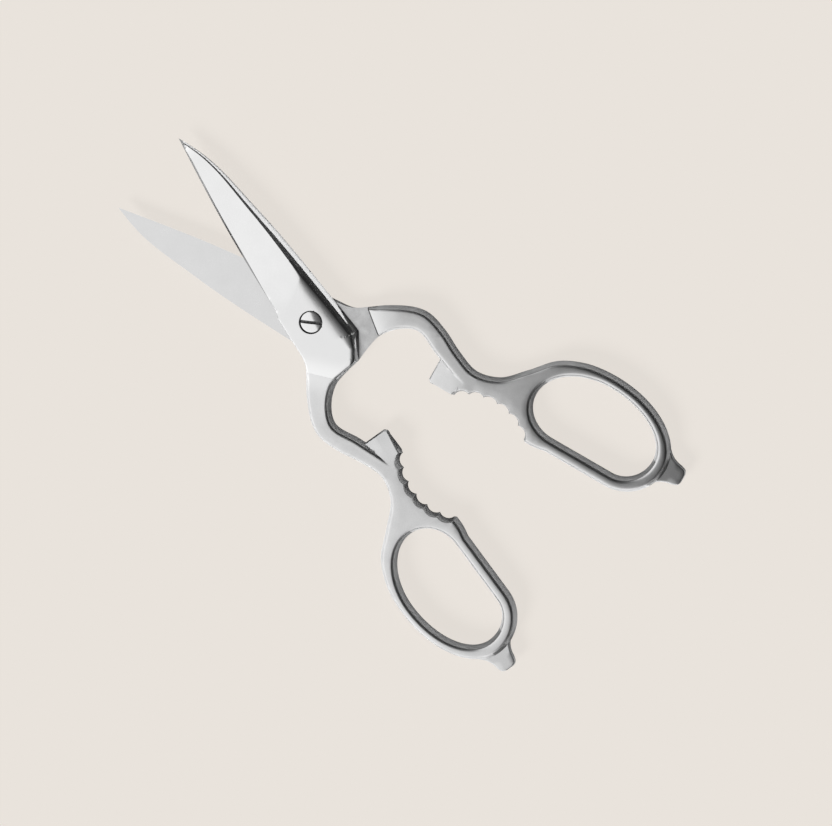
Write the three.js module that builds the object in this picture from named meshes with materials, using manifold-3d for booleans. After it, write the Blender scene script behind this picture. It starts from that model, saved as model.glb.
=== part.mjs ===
// Kitchen scissors: two forged steel halves that cross at one slotted pivot screw.
//
// Each half is a single forging: a pointed blade, a flat joint plate that laps the other half, a curved
// arm with a bottle-opener hook and a scalloped lid grip, a finger bow and a screwdriver tab.
// Both halves have the same shape, and the rear one is turned over about the long axis.
//
// A half is drawn closed: pivot at the origin, blade along +X, handle along -X, lap face at z = 0 and
// the cutting edge and the handle on the +Y side. The pair is then opened about the pivot.
//
// Frame of the pair: millimetres, +X towards the blade tips, +Z up through the front face, origin on the
// pivot axis in the plane of the rear half's back.

import * as THREE from 'three';
import { mergeVertices } from 'three/addons/utils/BufferGeometryUtils.js';
import loadManifold from 'manifold-3d';

const wasm = await loadManifold();
wasm.setup();

// Driving dimensions of the pair
const OPEN_ANGLE = 24.3; // degrees between the two halves as they lie
const LAP_GAP = 0.3; // between the two lap faces
const CLOSED_GAP = 0.3; // between the two handles' stops when the blades are shut

// Driving dimensions of the blade
const BLADE_LENGTH = 79; // pivot to tip
const TIP_THICKNESS = 1;
const MID_THICKNESS = 3.1; // half way along the cutting edge
const MID_EDGE = 5.45; // pivot line to the cutting edge there
const MID_SPINE = 7.6; // pivot line to the back of the blade there
const SHOULDER_REACH = 70; // pivot to where the back curves down to the tip
const SHOULDER_SPINE = 3.5;
const HEEL_REACH = 8.9; // pivot to the end of the cutting edge
const HEEL_EDGE = 8.9;
const GRIND_RUNOUT = 6; // length over which the ground face climbs to the joint plate
const EDGE_BEVEL_WIDTH = 0.9;
const EDGE_BEVEL_HEIGHT = 1.1;

// Driving dimensions of the joint plate
const JOINT_THICKNESS = 4.5;
const JOINT_SPINE = 10.5; // pivot line to the back of the plate
const JOINT_EDGE = 9.6; // pivot line to the front of the plate
const JOINT_CORNER = { x: -12.4, y: -11 };
const JOINT_HEEL = { x: -20.8, y: -4.7 };
const BACK_CHAMFER = 2; // 45 degree chamfer along the back of the joint plate
const BACK_DRAFT = 1.15; // how far the wall below the chamfer leans out
const MID_CHAMFER = 0.7; // the same two at the middle of the blade
const MID_DRAFT = 0.95;
const FRONT_DRAFT = 0.65; // lean of the plate's front wall
const STEP_OUTER = { x: -14.6, y: 14.05 }; // ends of the step where the arm rises from the lap face
const STEP_INNER = { x: -23, y: 7 };
const STEP_RISE = 2.6; // height of that step
const STEP_RAMP = 10; // length over which the arm's lap side climbs on from the step to its full height
const CREASE_OFFSET = 2.4; // from that step to the crease on the outer face, towards the pivot
const CREASE_RAMP = 5; // length over which the outer face falls from the plate to the arm

// Driving dimensions of the arm, as points that its two edges pass through
const ARM_THICKNESS = 7.2;
const ARM_ROUNDING = 1.6; // width of the rounded edge
const NECK_OUTER = { x: -10.6, y: 11.35 };
const SHANK_OUTER = { x: -20.2, y: 18.3 };
const CREST_OUTER = { x: -34, y: 23.2 };
const DIP_OUTER = { x: -50, y: 16.7 };
const WAIST_OUTER = { ahead: 10.4, y: 13.65 }; // ahead of the middle of the lid grip
const HOLLOW_OUTER = { ahead: 2.9, y: 15.7 };
const FLARE_OUTER = { ahead: -4.6, y: 23 };
const HIP_OUTER = { ahead: -12.6, y: 31.6 };
const NECK_INNER = { x: -21.5, y: 0.9 };
const SHANK_INNER = { x: -24.8, y: 10.1 };
const CREST_INNER = { x: -33.5, y: 15.7 };
const ROOT_INNER = { x: -43, y: 11.9 };

// Driving dimensions of the bottle-opener hook
const HOOK_REACH = 45.5; // pivot to the hook's free side
const HOOK_LENGTH = 9.9; // free side to the lid grip
const HOOK_EDGE = 1.7; // closing line to the hook's lower edge
const HOOK_DEPTH = 9.5; // lower edge to inside the arm
const HOOK_TIP_THICKNESS = 2.8;
const HOOK_TIP_CUT = 0.9; // blunted corner at the point

// Driving dimensions of the scalloped lid grip
const GRIP_RADIUS = 21.5;
const GRIP_HEIGHT = 6.9; // closing line to the top of the grip's arc
const SCALLOP_COUNT = 6;
const SCALLOP_RADIUS = 3.2;
const SCALLOP_DEPTH = 1.35;
const SCALLOP_DRAFT = 0.95; // how far each scallop widens from the parting line to either face
const SCALLOP_TURN = 2.5; // degrees by which the row is set towards the bow

// Driving dimensions of the finger bow
const BOW_SET_BACK = 11.3; // middle of the lid grip to the near end of the finger hole
const BOW_HOLE_LENGTH = 46.6;
const BOW_HOLE_WIDTH = 26;
const BOW_FLAT = 24; // straight side, next to the other handle
const BOW_NEAR_CURVE = 12.3; // near end of the hole to that straight side
const BOW_CROWN = 21.3; // near end of the hole to its widest point
const BOW_END_RISE = 10.85; // straight side to the two ends of the hole
const BOW_RIM = 4.6; // rim on the outer side
const BOW_FLAT_RIM = 5.4; // rim on the straight side
const BOW_END_RIM = 5.6; // rim at the far end
const BOW_FLAT_SET_BACK = 0.8; // straight side behind the stop

// Driving dimensions of the screwdriver tab
const TAB_LENGTH = 6.7; // out of the bow's far end
const TAB_WIDTH = 6.6;
const TAB_THICKNESS = 3;
const TAB_FLARE = 4.4; // widening on each side at the root
const TAB_CORNER = 0.7;

// Driving dimensions of the pivot screw
const SCREW_RADIUS = 2.5;
const SCREW_CLEARANCE = 0.08; // radial, in both halves
const HEAD_RADIUS = 3.8;
const HEAD_HEIGHT = 2.2;
const HEAD_DOME = 0.5;
const HEAD_CLEARANCE = 0.35; // radial, in the counterbore
const HEAD_SEAT_GAP = 0.3;
const SLOT_WIDTH = 1.1;
const SLOT_DEPTH = 1.5;
const SLOT_ANGLE = 36.7; // degrees from the long axis
const TAIL_RADIUS = 3.3; // peened end, flush with the back
const TAIL_HEIGHT = 0.9;
const TAIL_CLEARANCE = 0.15;

// Fineness of the facets
const EDGE_STEPS = 3; // facets across a rounded edge
const FACET_LENGTH = 1.8; // along the curved stretches of an outline
const ROUND_SIDES = 48;

const STEEL_SATIN = new THREE.MeshStandardMaterial({ color: 0xc4c4c3, roughness: 0.34, metalness: 1 });
const STEEL_POLISHED = new THREE.MeshStandardMaterial({ color: 0xd2d2d1, roughness: 0.2, metalness: 1 });

const degrees = THREE.MathUtils.degToRad;
const vector = ({ x, y }) => new THREE.Vector2(x, y);

// Solids from closed geometries, and back

function solidOf(geometry) {
  const bare = new THREE.BufferGeometry();
  bare.setAttribute('position', geometry.getAttribute('position').clone());
  if (geometry.index) bare.setIndex(geometry.index.clone());
  const merged = mergeVertices(bare, 1e-5);
  const corners = merged.index.array;
  const triVerts = [];
  for (let i = 0; i < corners.length; i += 3) {
    const [a, b, c] = corners.subarray(i, i + 3);
    if (a !== b && b !== c && c !== a) triVerts.push(a, b, c);
  }
  const vertProperties = new Float32Array(merged.getAttribute('position').array);
  const mesh = new wasm.Mesh({ numProp: 3, vertProperties, triVerts: new Uint32Array(triVerts) });
  return new wasm.Manifold(mesh);
}

function geometryOf(solid) {
  const mesh = solid.getMesh();
  const geometry = new THREE.BufferGeometry();
  geometry.setAttribute('position', new THREE.BufferAttribute(new Float32Array(mesh.vertProperties), 3));
  geometry.setIndex(new THREE.BufferAttribute(new Uint32Array(mesh.triVerts), 1));
  return geometry;
}

// A closed solid through sections that all have the same number of points, in order round each section
function loft(sections) {
  const count = sections[0].length;
  const positions = sections.flat().flatMap((point) => [point.x, point.y, point.z]);
  const corners = [];
  for (let i = 0; i + 1 < sections.length; i += 1) {
    for (let j = 0; j < count; j += 1) {
      const a = i * count + j;
      const b = i * count + ((j + 1) % count);
      corners.push(a, b + count, b, a, a + count, b + count);
    }
  }
  const last = (sections.length - 1) * count;
  for (let j = 1; j + 1 < count; j += 1) {
    corners.push(0, j, j + 1, last, last + j + 1, last + j);
  }
  const geometry = new THREE.BufferGeometry();
  geometry.setAttribute('position', new THREE.Float32BufferAttribute(positions, 3));
  geometry.setIndex(corners);
  return solidOf(geometry);
}

// Points of an outline, evenly spaced along its curved stretches
function pointsOf(path) {
  const points = path.curves.flatMap((curve) => {
    const count = curve.isLineCurve ? 1 : Math.ceil(curve.getLength() / FACET_LENGTH);
    return Array.from({ length: count }, (_, i) => curve.getPointAt(i / count));
  });
  return points.filter((point, i) => point.distanceTo(points[(i + 1) % points.length]) > 1e-3);
}

// A plan shape given a thickness about z = 0, with both edges rounded over a width
function roundedPlate(shape, thickness, rounding, steps = EDGE_STEPS) {
  const rise = Math.min(thickness * 0.45, rounding * 2);
  const outline = new THREE.Shape(pointsOf(shape));
  outline.holes = shape.holes.map((hole) => new THREE.Path(pointsOf(hole)));
  const geometry = new THREE.ExtrudeGeometry(outline, {
    depth: thickness - 2 * rise,
    bevelThickness: rise,
    bevelSize: rounding,
    bevelOffset: -rounding,
    bevelSegments: steps,
    steps: 1,
  });
  geometry.translate(0, 0, rise - thickness / 2);
  return solidOf(geometry);
}

function uprightCone(lowRadius, highRadius, low, high, x = 0, y = 0) {
  const geometry = new THREE.CylinderGeometry(highRadius, lowRadius, high - low, ROUND_SIDES);
  geometry.rotateX(Math.PI / 2);
  geometry.translate(x, y, (low + high) / 2);
  return solidOf(geometry);
}

function uprightCylinder(radius, low, high, x = 0, y = 0) {
  return uprightCone(radius, radius, low, high, x, y);
}

// A solid turned about an upright axis, from the radii and heights of its profile from bottom to top
function turnedSolid(profile, x = 0, y = 0) {
  const points = profile.map(([radius, height]) => new THREE.Vector2(radius, height));
  const geometry = new THREE.LatheGeometry(points, ROUND_SIDES);
  geometry.rotateX(Math.PI / 2);
  geometry.translate(x, y, 0);
  return solidOf(geometry);
}

// Outline of the half, closed

// The hook, the lid grip and the finger hole follow each other along the handle
const hookInnerX = -HOOK_REACH - HOOK_LENGTH;
const gripHalfChord = Math.sqrt(GRIP_RADIUS ** 2 - (GRIP_RADIUS - GRIP_HEIGHT + HOOK_EDGE) ** 2);
const gripX = hookInnerX - gripHalfChord;
const holeNearX = gripX - BOW_SET_BACK;

// Straight side of the bow and the stop that meets the other handle
const stopLine = CLOSED_GAP / 2;
const bowFlat = stopLine + BOW_FLAT_SET_BACK;
const holeFlat = bowFlat + BOW_FLAT_RIM;
const bowMiddle = holeFlat + BOW_END_RISE;
const holeCrown = holeFlat + BOW_HOLE_WIDTH;
const crownX = holeNearX - BOW_CROWN;
const flatNearX = holeNearX - BOW_NEAR_CURVE;
const flatFarX = flatNearX - BOW_FLAT;
const holeFarX = holeNearX - BOW_HOLE_LENGTH;
const bowFarX = holeFarX - BOW_END_RIM;

const heel = new THREE.Vector2(HEEL_REACH, HEEL_EDGE);
const tip = new THREE.Vector2(BLADE_LENGTH, 0);
const bladeMidX = (HEEL_REACH + BLADE_LENGTH) / 2;

// Cutting edge from the tip to the heel, and the back from the tip to the joint plate's corner
const cuttingEdge = new THREE.SplineCurve([tip, new THREE.Vector2(bladeMidX, MID_EDGE), heel]);
const bladeBack = new THREE.SplineCurve([
  tip,
  new THREE.Vector2(SHOULDER_REACH, -SHOULDER_SPINE),
  new THREE.Vector2(bladeMidX, -MID_SPINE),
  new THREE.Vector2(0, -JOINT_SPINE),
  vector(JOINT_CORNER),
]);

// Front of the joint plate from the heel to the neck, then the outer edge of the arm up to the bow's crown
const neckEdge = new THREE.SplineCurve([heel, new THREE.Vector2(0, JOINT_EDGE), vector(NECK_OUTER),
  vector(STEP_OUTER), vector(SHANK_OUTER)]);
const besideGrip = ({ ahead, y }) => new THREE.Vector2(gripX + ahead, y);
const armOuterPoints = [
  ...[STEP_OUTER, SHANK_OUTER, CREST_OUTER, DIP_OUTER].map(vector),
  ...[WAIST_OUTER, HOLLOW_OUTER, FLARE_OUTER, HIP_OUTER].map(besideGrip),
];
const armInnerPoints = [ROOT_INNER, CREST_INNER, SHANK_INNER, STEP_INNER].map(vector);
const jointInnerEdge = new THREE.SplineCurve([JOINT_HEEL, NECK_INNER, STEP_INNER, SHANK_INNER].map(vector));

// Point of a curve at a given reach along X
function atReach(curve, x) {
  let low = 0;
  let high = 1;
  for (let i = 0; i < 40; i += 1) {
    const middle = (low + high) / 2;
    if (curve.getPoint(middle).x > x) low = middle;
    else high = middle;
  }
  return curve.getPoint(low);
}

// Blade and joint plate, lofted from the tip to the neck

// Thickness, chamfer and draft along the back of the blade, from the joint to the tip
function backSizes(x) {
  const { lerp, clamp } = THREE.MathUtils;
  const outer = clamp((x - bladeMidX) / (BLADE_LENGTH - bladeMidX), 0, 1);
  const inner = clamp((x - HEEL_REACH) / (bladeMidX - HEEL_REACH), 0, 1);
  const blend = (joint, middle, end) => lerp(lerp(joint, middle, inner), end, outer);
  return {
    thickness: blend(JOINT_THICKNESS, MID_THICKNESS, TIP_THICKNESS),
    chamfer: blend(BACK_CHAMFER, MID_CHAMFER, TIP_THICKNESS / 4),
    draft: blend(BACK_DRAFT, MID_DRAFT, TIP_THICKNESS / 4),
  };
}

// One section from the front edge to the back: base, front wall, outer face, chamfer, leaning back wall
function plateSection(front, back, wallWidth, wallHeight, sizes) {
  const across = back.clone().sub(front);
  const width = across.length();
  const share = Math.min(1, width / (wallWidth + sizes.chamfer + sizes.draft) / 1.2);
  const at = (distance, z) => {
    const point = front.clone().addScaledVector(across, distance / width);
    return new THREE.Vector3(point.x, point.y, z);
  };
  const chamferHeight = Math.min(sizes.chamfer, sizes.thickness / 2);
  return [
    at(0, 0),
    at(wallWidth * share, Math.min(wallHeight, sizes.thickness)),
    at(width - (sizes.chamfer + sizes.draft) * share, sizes.thickness),
    at(width - sizes.draft * share, sizes.thickness - chamferHeight),
    at(width, 0),
  ];
}

function bladeAndJoint() {
  const sections = [];
  const bladeReaches = [0.99, 0.97, 0.94, 0.88, 0.8, 0.68, 0.52, 0.36, 0.2, 0.1].map(
    (share) => HEEL_REACH + share * (BLADE_LENGTH - HEEL_REACH),
  );
  for (const x of bladeReaches) {
    const bevel = Math.min(1, (BLADE_LENGTH - x) / (BLADE_LENGTH - SHOULDER_REACH));
    const front = atReach(cuttingEdge, x);
    const back = atReach(bladeBack, x);
    const climb = THREE.MathUtils.clamp(1 - (x - HEEL_REACH) / GRIND_RUNOUT, 0, 1);
    const height = THREE.MathUtils.lerp(EDGE_BEVEL_HEIGHT * bevel, JOINT_THICKNESS, climb ** 2);
    sections.push(plateSection(front, back, EDGE_BEVEL_WIDTH * bevel, height, backSizes(x)));
  }
  // Joint plate, with its sections turning from square across the blade to along the step
  const jointSizes = backSizes(0);
  const plate = (front, back, sizes = jointSizes) => {
    sections.push(plateSection(front, back, FRONT_DRAFT, sizes.thickness, sizes));
  };
  plate(heel, atReach(bladeBack, HEEL_REACH));
  plate(atReach(neckEdge, 0), atReach(bladeBack, 0));
  plate(atReach(neckEdge, JOINT_CORNER.x / 2), vector(JOINT_CORNER));
  plate(vector(NECK_OUTER), vector(JOINT_HEEL));
  const along = vector(STEP_OUTER).sub(vector(STEP_INNER)).normalize();
  const pivotward = new THREE.Vector2(along.y, -along.x);
  const creaseSizes = { ...jointSizes, chamfer: ARM_ROUNDING, draft: FRONT_DRAFT };
  plate(vector(NECK_OUTER).lerp(vector(STEP_OUTER), 0.3), vector(NECK_INNER), creaseSizes);
  const onCrease = vector(STEP_INNER).addScaledVector(pivotward, CREASE_OFFSET);
  plate(crossing(neckEdge, onCrease, along), crossing(jointInnerEdge, onCrease, along), creaseSizes);
  // The plate ends buried in the arm
  const buried = { thickness: ARM_THICKNESS / 2 - LAP_GAP, chamfer: ARM_ROUNDING, draft: ARM_ROUNDING };
  const onRamp = vector(STEP_INNER).addScaledVector(pivotward, CREASE_OFFSET - CREASE_RAMP);
  const outer = crossing(neckEdge, onRamp, along).addScaledVector(along, -ARM_ROUNDING);
  const inner = crossing(jointInnerEdge, onRamp, along).addScaledVector(along, ARM_ROUNDING);
  plate(outer, inner, buried);
  return loft(sections);
}

// Where a curve crosses the line through a point along a direction
function crossing(curve, point, direction) {
  const side = (t) => curve.getPoint(t).sub(point).cross(direction);
  let low = 0;
  let high = 1;
  for (let i = 0; i < 40; i += 1) {
    const middle = (low + high) / 2;
    if (side(middle) * side(0) > 0) low = middle;
    else high = middle;
  }
  return curve.getPoint(low);
}

// Arm and finger bow, one plate with rounded edges

function fingerHole() {
  const hole = new THREE.Path();
  hole.moveTo(flatNearX, holeFlat);
  hole.lineTo(flatFarX, holeFlat);
  hole.absellipse(flatFarX, bowMiddle, flatFarX - holeFarX, BOW_END_RISE, -Math.PI / 2, -Math.PI, true);
  hole.absellipse(crownX, bowMiddle, crownX - holeFarX, holeCrown - bowMiddle, Math.PI, Math.PI / 2, true);
  hole.absellipse(crownX, bowMiddle, BOW_CROWN, holeCrown - bowMiddle, Math.PI / 2, 0, true);
  hole.absellipse(flatNearX, bowMiddle, BOW_NEAR_CURVE, BOW_END_RISE, 0, -Math.PI / 2, true);
  return hole;
}

function armAndBow() {
  const shape = new THREE.Shape();
  const crown = holeCrown + BOW_RIM;
  // Past the step, both edges run straight on and end inside the joint plate
  shape.moveTo(2 * NECK_OUTER.x - STEP_OUTER.x, 2 * NECK_OUTER.y - STEP_OUTER.y);
  shape.lineTo(NECK_OUTER.x, NECK_OUTER.y);
  const intoBow = new THREE.Vector2(holeNearX - BOW_NEAR_CURVE * 0.75, crown - BOW_RIM * 0.35);
  shape.splineThru([...armOuterPoints, intoBow, new THREE.Vector2(crownX, crown)]);
  shape.absellipse(crownX, bowMiddle, crownX - bowFarX, crown - bowMiddle, Math.PI / 2, Math.PI, false);
  const bowRise = bowMiddle - bowFlat;
  shape.absellipse(flatFarX, bowMiddle, flatFarX - bowFarX, bowRise, Math.PI, Math.PI * 1.5, false);
  shape.lineTo(flatNearX, bowFlat);
  // The stop beside the lid grip is the only place where the two handles meet
  const stopX = holeNearX - BOW_FLAT_RIM;
  shape.splineThru([new THREE.Vector2(stopX - BOW_RIM / 2, stopLine), new THREE.Vector2(stopX, stopLine)]);
  shape.lineTo(hookInnerX, stopLine);
  shape.lineTo(hookInnerX, (ROOT_INNER.y + HOOK_EDGE) / 2);
  shape.splineThru(armInnerPoints);
  shape.lineTo(2 * STEP_INNER.x - SHANK_INNER.x, 2 * STEP_INNER.y - SHANK_INNER.y);
  shape.closePath();
  shape.holes.push(fingerHole());
  return roundedPlate(shape, ARM_THICKNESS, ARM_ROUNDING);
}

// The hook thins from the lid grip to its free side and has a blunted point
function openerHook() {
  const free = -HOOK_REACH;
  const inner = hookInnerX;
  const top = HOOK_EDGE + HOOK_DEPTH;
  const plan = new THREE.Shape();
  plan.moveTo(free, top);
  plan.lineTo(free, HOOK_EDGE + HOOK_TIP_CUT);
  plan.lineTo(free - HOOK_TIP_CUT, HOOK_EDGE);
  plan.lineTo(inner, HOOK_EDGE);
  plan.lineTo(inner, top);
  plan.closePath();
  const planGeometry = new THREE.ExtrudeGeometry(plan, { depth: ARM_THICKNESS, bevelEnabled: false });
  planGeometry.translate(0, 0, -ARM_THICKNESS / 2);
  const side = new THREE.Shape();
  side.moveTo(free, -HOOK_TIP_THICKNESS / 2);
  side.lineTo(free, HOOK_TIP_THICKNESS / 2);
  side.lineTo(inner, ARM_THICKNESS / 2);
  side.lineTo(inner, -ARM_THICKNESS / 2);
  side.closePath();
  const sideGeometry = new THREE.ExtrudeGeometry(side, { depth: 2 * top, bevelEnabled: false });
  sideGeometry.rotateX(Math.PI / 2);
  sideGeometry.translate(0, 1.5 * top, 0);
  return solidOf(planGeometry).intersect(solidOf(sideGeometry));
}

// The grip is one wide arc with a row of scallops cut along it
function lidGripCut() {
  const reach = ARM_THICKNESS;
  const centreY = GRIP_HEIGHT - GRIP_RADIUS;
  let cut = uprightCylinder(GRIP_RADIUS, -reach, reach, gripX, centreY);
  const halfChord = Math.sqrt(2 * SCALLOP_RADIUS * SCALLOP_DEPTH - SCALLOP_DEPTH ** 2);
  const pitch = 2 * Math.asin(halfChord / GRIP_RADIUS);
  const sink = SCALLOP_RADIUS - SCALLOP_DEPTH;
  const wide = SCALLOP_RADIUS + (SCALLOP_DRAFT * reach) / (ARM_THICKNESS / 2);
  const centreRadius = GRIP_RADIUS * Math.cos(pitch / 2) - sink;
  for (let i = 0; i < SCALLOP_COUNT; i += 1) {
    const angle = Math.PI / 2 + degrees(SCALLOP_TURN) + (i - (SCALLOP_COUNT - 1) / 2) * pitch;
    const x = gripX + centreRadius * Math.cos(angle);
    const y = centreY + centreRadius * Math.sin(angle);
    const waisted = [[0, -reach], [wide, -reach], [SCALLOP_RADIUS, 0], [wide, reach], [0, reach]];
    cut = cut.add(turnedSolid(waisted, x, y));
  }
  return cut;
}

function driverTab() {
  const root = bowFarX + BOW_END_RIM / 2;
  const end = bowFarX - TAB_LENGTH;
  const half = TAB_WIDTH / 2;
  const tab = new THREE.Shape();
  tab.moveTo(root, bowMiddle + half + TAB_FLARE);
  tab.quadraticCurveTo(bowFarX, bowMiddle + half, end + TAB_CORNER, bowMiddle + half);
  tab.quadraticCurveTo(end, bowMiddle + half, end, bowMiddle + half - TAB_CORNER);
  tab.lineTo(end, bowMiddle - half + TAB_CORNER);
  tab.quadraticCurveTo(end, bowMiddle - half, end + TAB_CORNER, bowMiddle - half);
  tab.quadraticCurveTo(bowFarX, bowMiddle - half, root, bowMiddle - half - TAB_FLARE);
  tab.closePath();
  return roundedPlate(tab, TAB_THICKNESS, TAB_THICKNESS / 6, 1);
}

// Everything on the pivot side of the step and below the lap face
function lapRecess() {
  const along = vector(STEP_OUTER).sub(vector(STEP_INNER));
  const length = BLADE_LENGTH;
  const box = new THREE.BoxGeometry(length, length, ARM_THICKNESS);
  box.translate(length / 2, 0, -ARM_THICKNESS / 2);
  box.rotateZ(Math.atan2(along.y, along.x) - Math.PI / 2);
  const middle = vector(STEP_INNER).add(vector(STEP_OUTER)).multiplyScalar(0.5);
  box.translate(middle.x, middle.y, 0);
  return solidOf(box);
}

// A wedge off the arm's lap side, so that it climbs from the step
function stepRamp() {
  const along = vector(STEP_OUTER).sub(vector(STEP_INNER));
  const width = 2 * along.length();
  const side = new THREE.Shape();
  side.moveTo(1, -STEP_RISE);
  side.lineTo(0, -STEP_RISE);
  const fall = (ARM_THICKNESS / 2 - STEP_RISE) / STEP_RAMP;
  side.lineTo((STEP_RISE - ARM_THICKNESS) / fall, -ARM_THICKNESS);
  side.lineTo(1, -ARM_THICKNESS);
  side.closePath();
  const wedge = new THREE.ExtrudeGeometry(side, { depth: width, bevelEnabled: false });
  wedge.translate(0, 0, -width / 2);
  wedge.rotateX(Math.PI / 2);
  wedge.rotateZ(Math.atan2(along.y, along.x) - Math.PI / 2);
  const middle = vector(STEP_INNER).add(vector(STEP_OUTER)).multiplyScalar(0.5);
  wedge.translate(middle.x, middle.y, 0);
  return solidOf(wedge);
}

// Holes for the screw: a counterbored running hole in front, a countersunk tapped one at the rear

const seatHeight = JOINT_THICKNESS - HEAD_HEIGHT;

function frontScrewHole() {
  const shank = uprightCylinder(SCREW_RADIUS + SCREW_CLEARANCE, -JOINT_THICKNESS, 2 * JOINT_THICKNESS);
  return shank.add(uprightCylinder(HEAD_RADIUS + HEAD_CLEARANCE, seatHeight, 2 * JOINT_THICKNESS));
}

function rearScrewHole() {
  const shank = uprightCylinder(SCREW_RADIUS + SCREW_CLEARANCE, -JOINT_THICKNESS, 2 * JOINT_THICKNESS);
  const low = JOINT_THICKNESS - TAIL_HEIGHT - TAIL_CLEARANCE;
  return shank.add(uprightCone(SCREW_RADIUS, TAIL_RADIUS + TAIL_CLEARANCE, low, JOINT_THICKNESS));
}

function forgedHalf(screwHole) {
  const forging = bladeAndJoint().add(armAndBow()).add(driverTab());
  const lapped = forging.subtract(lapRecess()).subtract(stepRamp());
  return geometryOf(lapped.subtract(lidGripCut()).add(openerHook()).subtract(screwHole));
}

// Slotted screw on the pivot axis, from its peened tail at z = 0 to its domed head

function pivotScrew() {
  const front = 2 * JOINT_THICKNESS + LAP_GAP;
  const underHead = front - HEAD_HEIGHT + HEAD_SEAT_GAP;
  const rim = front - HEAD_DOME;
  const profile = [
    [0, 0],
    [TAIL_RADIUS, 0],
    [SCREW_RADIUS, TAIL_HEIGHT],
    [SCREW_RADIUS, underHead],
    [HEAD_RADIUS, underHead],
    [HEAD_RADIUS, rim],
    [HEAD_RADIUS * 0.6, front - HEAD_DOME * 0.36],
    [0, front],
  ];
  const slot = new THREE.BoxGeometry(3 * HEAD_RADIUS, SLOT_WIDTH, 2 * SLOT_DEPTH);
  slot.rotateZ(degrees(SLOT_ANGLE));
  slot.translate(0, 0, front);
  return geometryOf(turnedSolid(profile).subtract(solidOf(slot)));
}

// The pair, opened about the pivot

const scissors = new THREE.Group();
scissors.name = 'kitchen_scissors';

const frontHalf = new THREE.Mesh(forgedHalf(frontScrewHole()), STEEL_SATIN);
frontHalf.name = 'front_half';
frontHalf.position.z = JOINT_THICKNESS + LAP_GAP;
frontHalf.rotation.z = degrees(-OPEN_ANGLE / 2);

const rearTurn = new THREE.Group();
rearTurn.position.z = JOINT_THICKNESS;
rearTurn.rotation.z = degrees(OPEN_ANGLE / 2);
const rearHalf = new THREE.Mesh(forgedHalf(rearScrewHole()), STEEL_SATIN);
rearHalf.name = 'rear_half';
rearHalf.rotation.x = Math.PI;
rearTurn.add(rearHalf);

const screw = new THREE.Mesh(pivotScrew(), STEEL_POLISHED);
screw.name = 'pivot_screw';

scissors.add(frontHalf, rearTurn, screw);

export default scissors;
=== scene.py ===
"""Kitchen scissors: two forged steel halves that cross at one slotted pivot screw.

A half is drawn closed and in millimetres: pivot at the origin, blade along +X, handle along -X, lap face
at z = 0, cutting edge and handle on the +Y side. The finished meshes are in metres, in the frame of the
pair, with the front half opened one way about the pivot and the rear half turned over and opened the other.
"""

import logging
import math
from dataclasses import dataclass, field
from enum import Enum
from typing import Dict, Iterable, List, Optional, Sequence, Set, Tuple, Union

import bmesh
import bpy
import numpy as np
from bpy.types import Material, Mesh, NodeTree, Object
from mathutils import Matrix, Vector
from mathutils.geometry import delaunay_2d_cdt


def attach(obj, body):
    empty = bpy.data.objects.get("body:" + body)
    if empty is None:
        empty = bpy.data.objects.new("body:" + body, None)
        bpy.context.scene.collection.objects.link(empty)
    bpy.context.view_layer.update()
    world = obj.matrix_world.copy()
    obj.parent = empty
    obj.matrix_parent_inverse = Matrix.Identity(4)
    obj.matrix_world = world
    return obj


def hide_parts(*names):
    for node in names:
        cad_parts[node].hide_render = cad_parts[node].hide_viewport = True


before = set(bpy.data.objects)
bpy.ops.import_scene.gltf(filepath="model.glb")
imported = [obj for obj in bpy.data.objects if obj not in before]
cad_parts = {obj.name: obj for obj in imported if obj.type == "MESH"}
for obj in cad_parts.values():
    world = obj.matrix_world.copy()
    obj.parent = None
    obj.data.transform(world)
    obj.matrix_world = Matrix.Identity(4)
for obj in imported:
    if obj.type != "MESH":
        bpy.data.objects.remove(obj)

log = logging.getLogger("kitchen_scissors")

MM = 0.001
BATCH = 500
SPLINE_STEPS = 48
OVAL_STEPS = 181
SAME_PLACE = 1e-4
TOUCH = 1e-3
TINY = 1e-9
NO_LENGTH = 1e-12
WELD = 1e-6
PLACE_ATTRIBUTE = "forging"
Array = np.ndarray
Point = Tuple[float, float]
Triple = Tuple[float, float, float]
Floats = Tuple[float, ...]
Points = Tuple[Point, ...]
Socket = bpy.types.NodeSocket
Feed = Union[Socket, float, Sequence[float], Material]


# Plan geometry


def evenly(line: Array, spacing: float) -> Array:
    """Resamples a polyline at even steps.

    Args:
        line: Points of the polyline, one row each.
        spacing: Longest step in millimetres.

    Returns:
        The resampled points, both ends included.
    """
    steps = np.linalg.norm(np.diff(line, axis=0), axis=1)
    reach = np.concatenate([[0.0], np.cumsum(steps)])
    count = max(2, int(math.ceil(reach[-1] / spacing)) + 1)
    at = np.linspace(0.0, reach[-1], count)
    return np.stack([np.interp(at, reach, line[:, 0]), np.interp(at, reach, line[:, 1])], axis=1)


def straight(start: Sequence[float], end: Sequence[float], spacing: float) -> Array:
    """Draws a straight line in even steps."""
    return evenly(np.array([start, end]), spacing)


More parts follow.
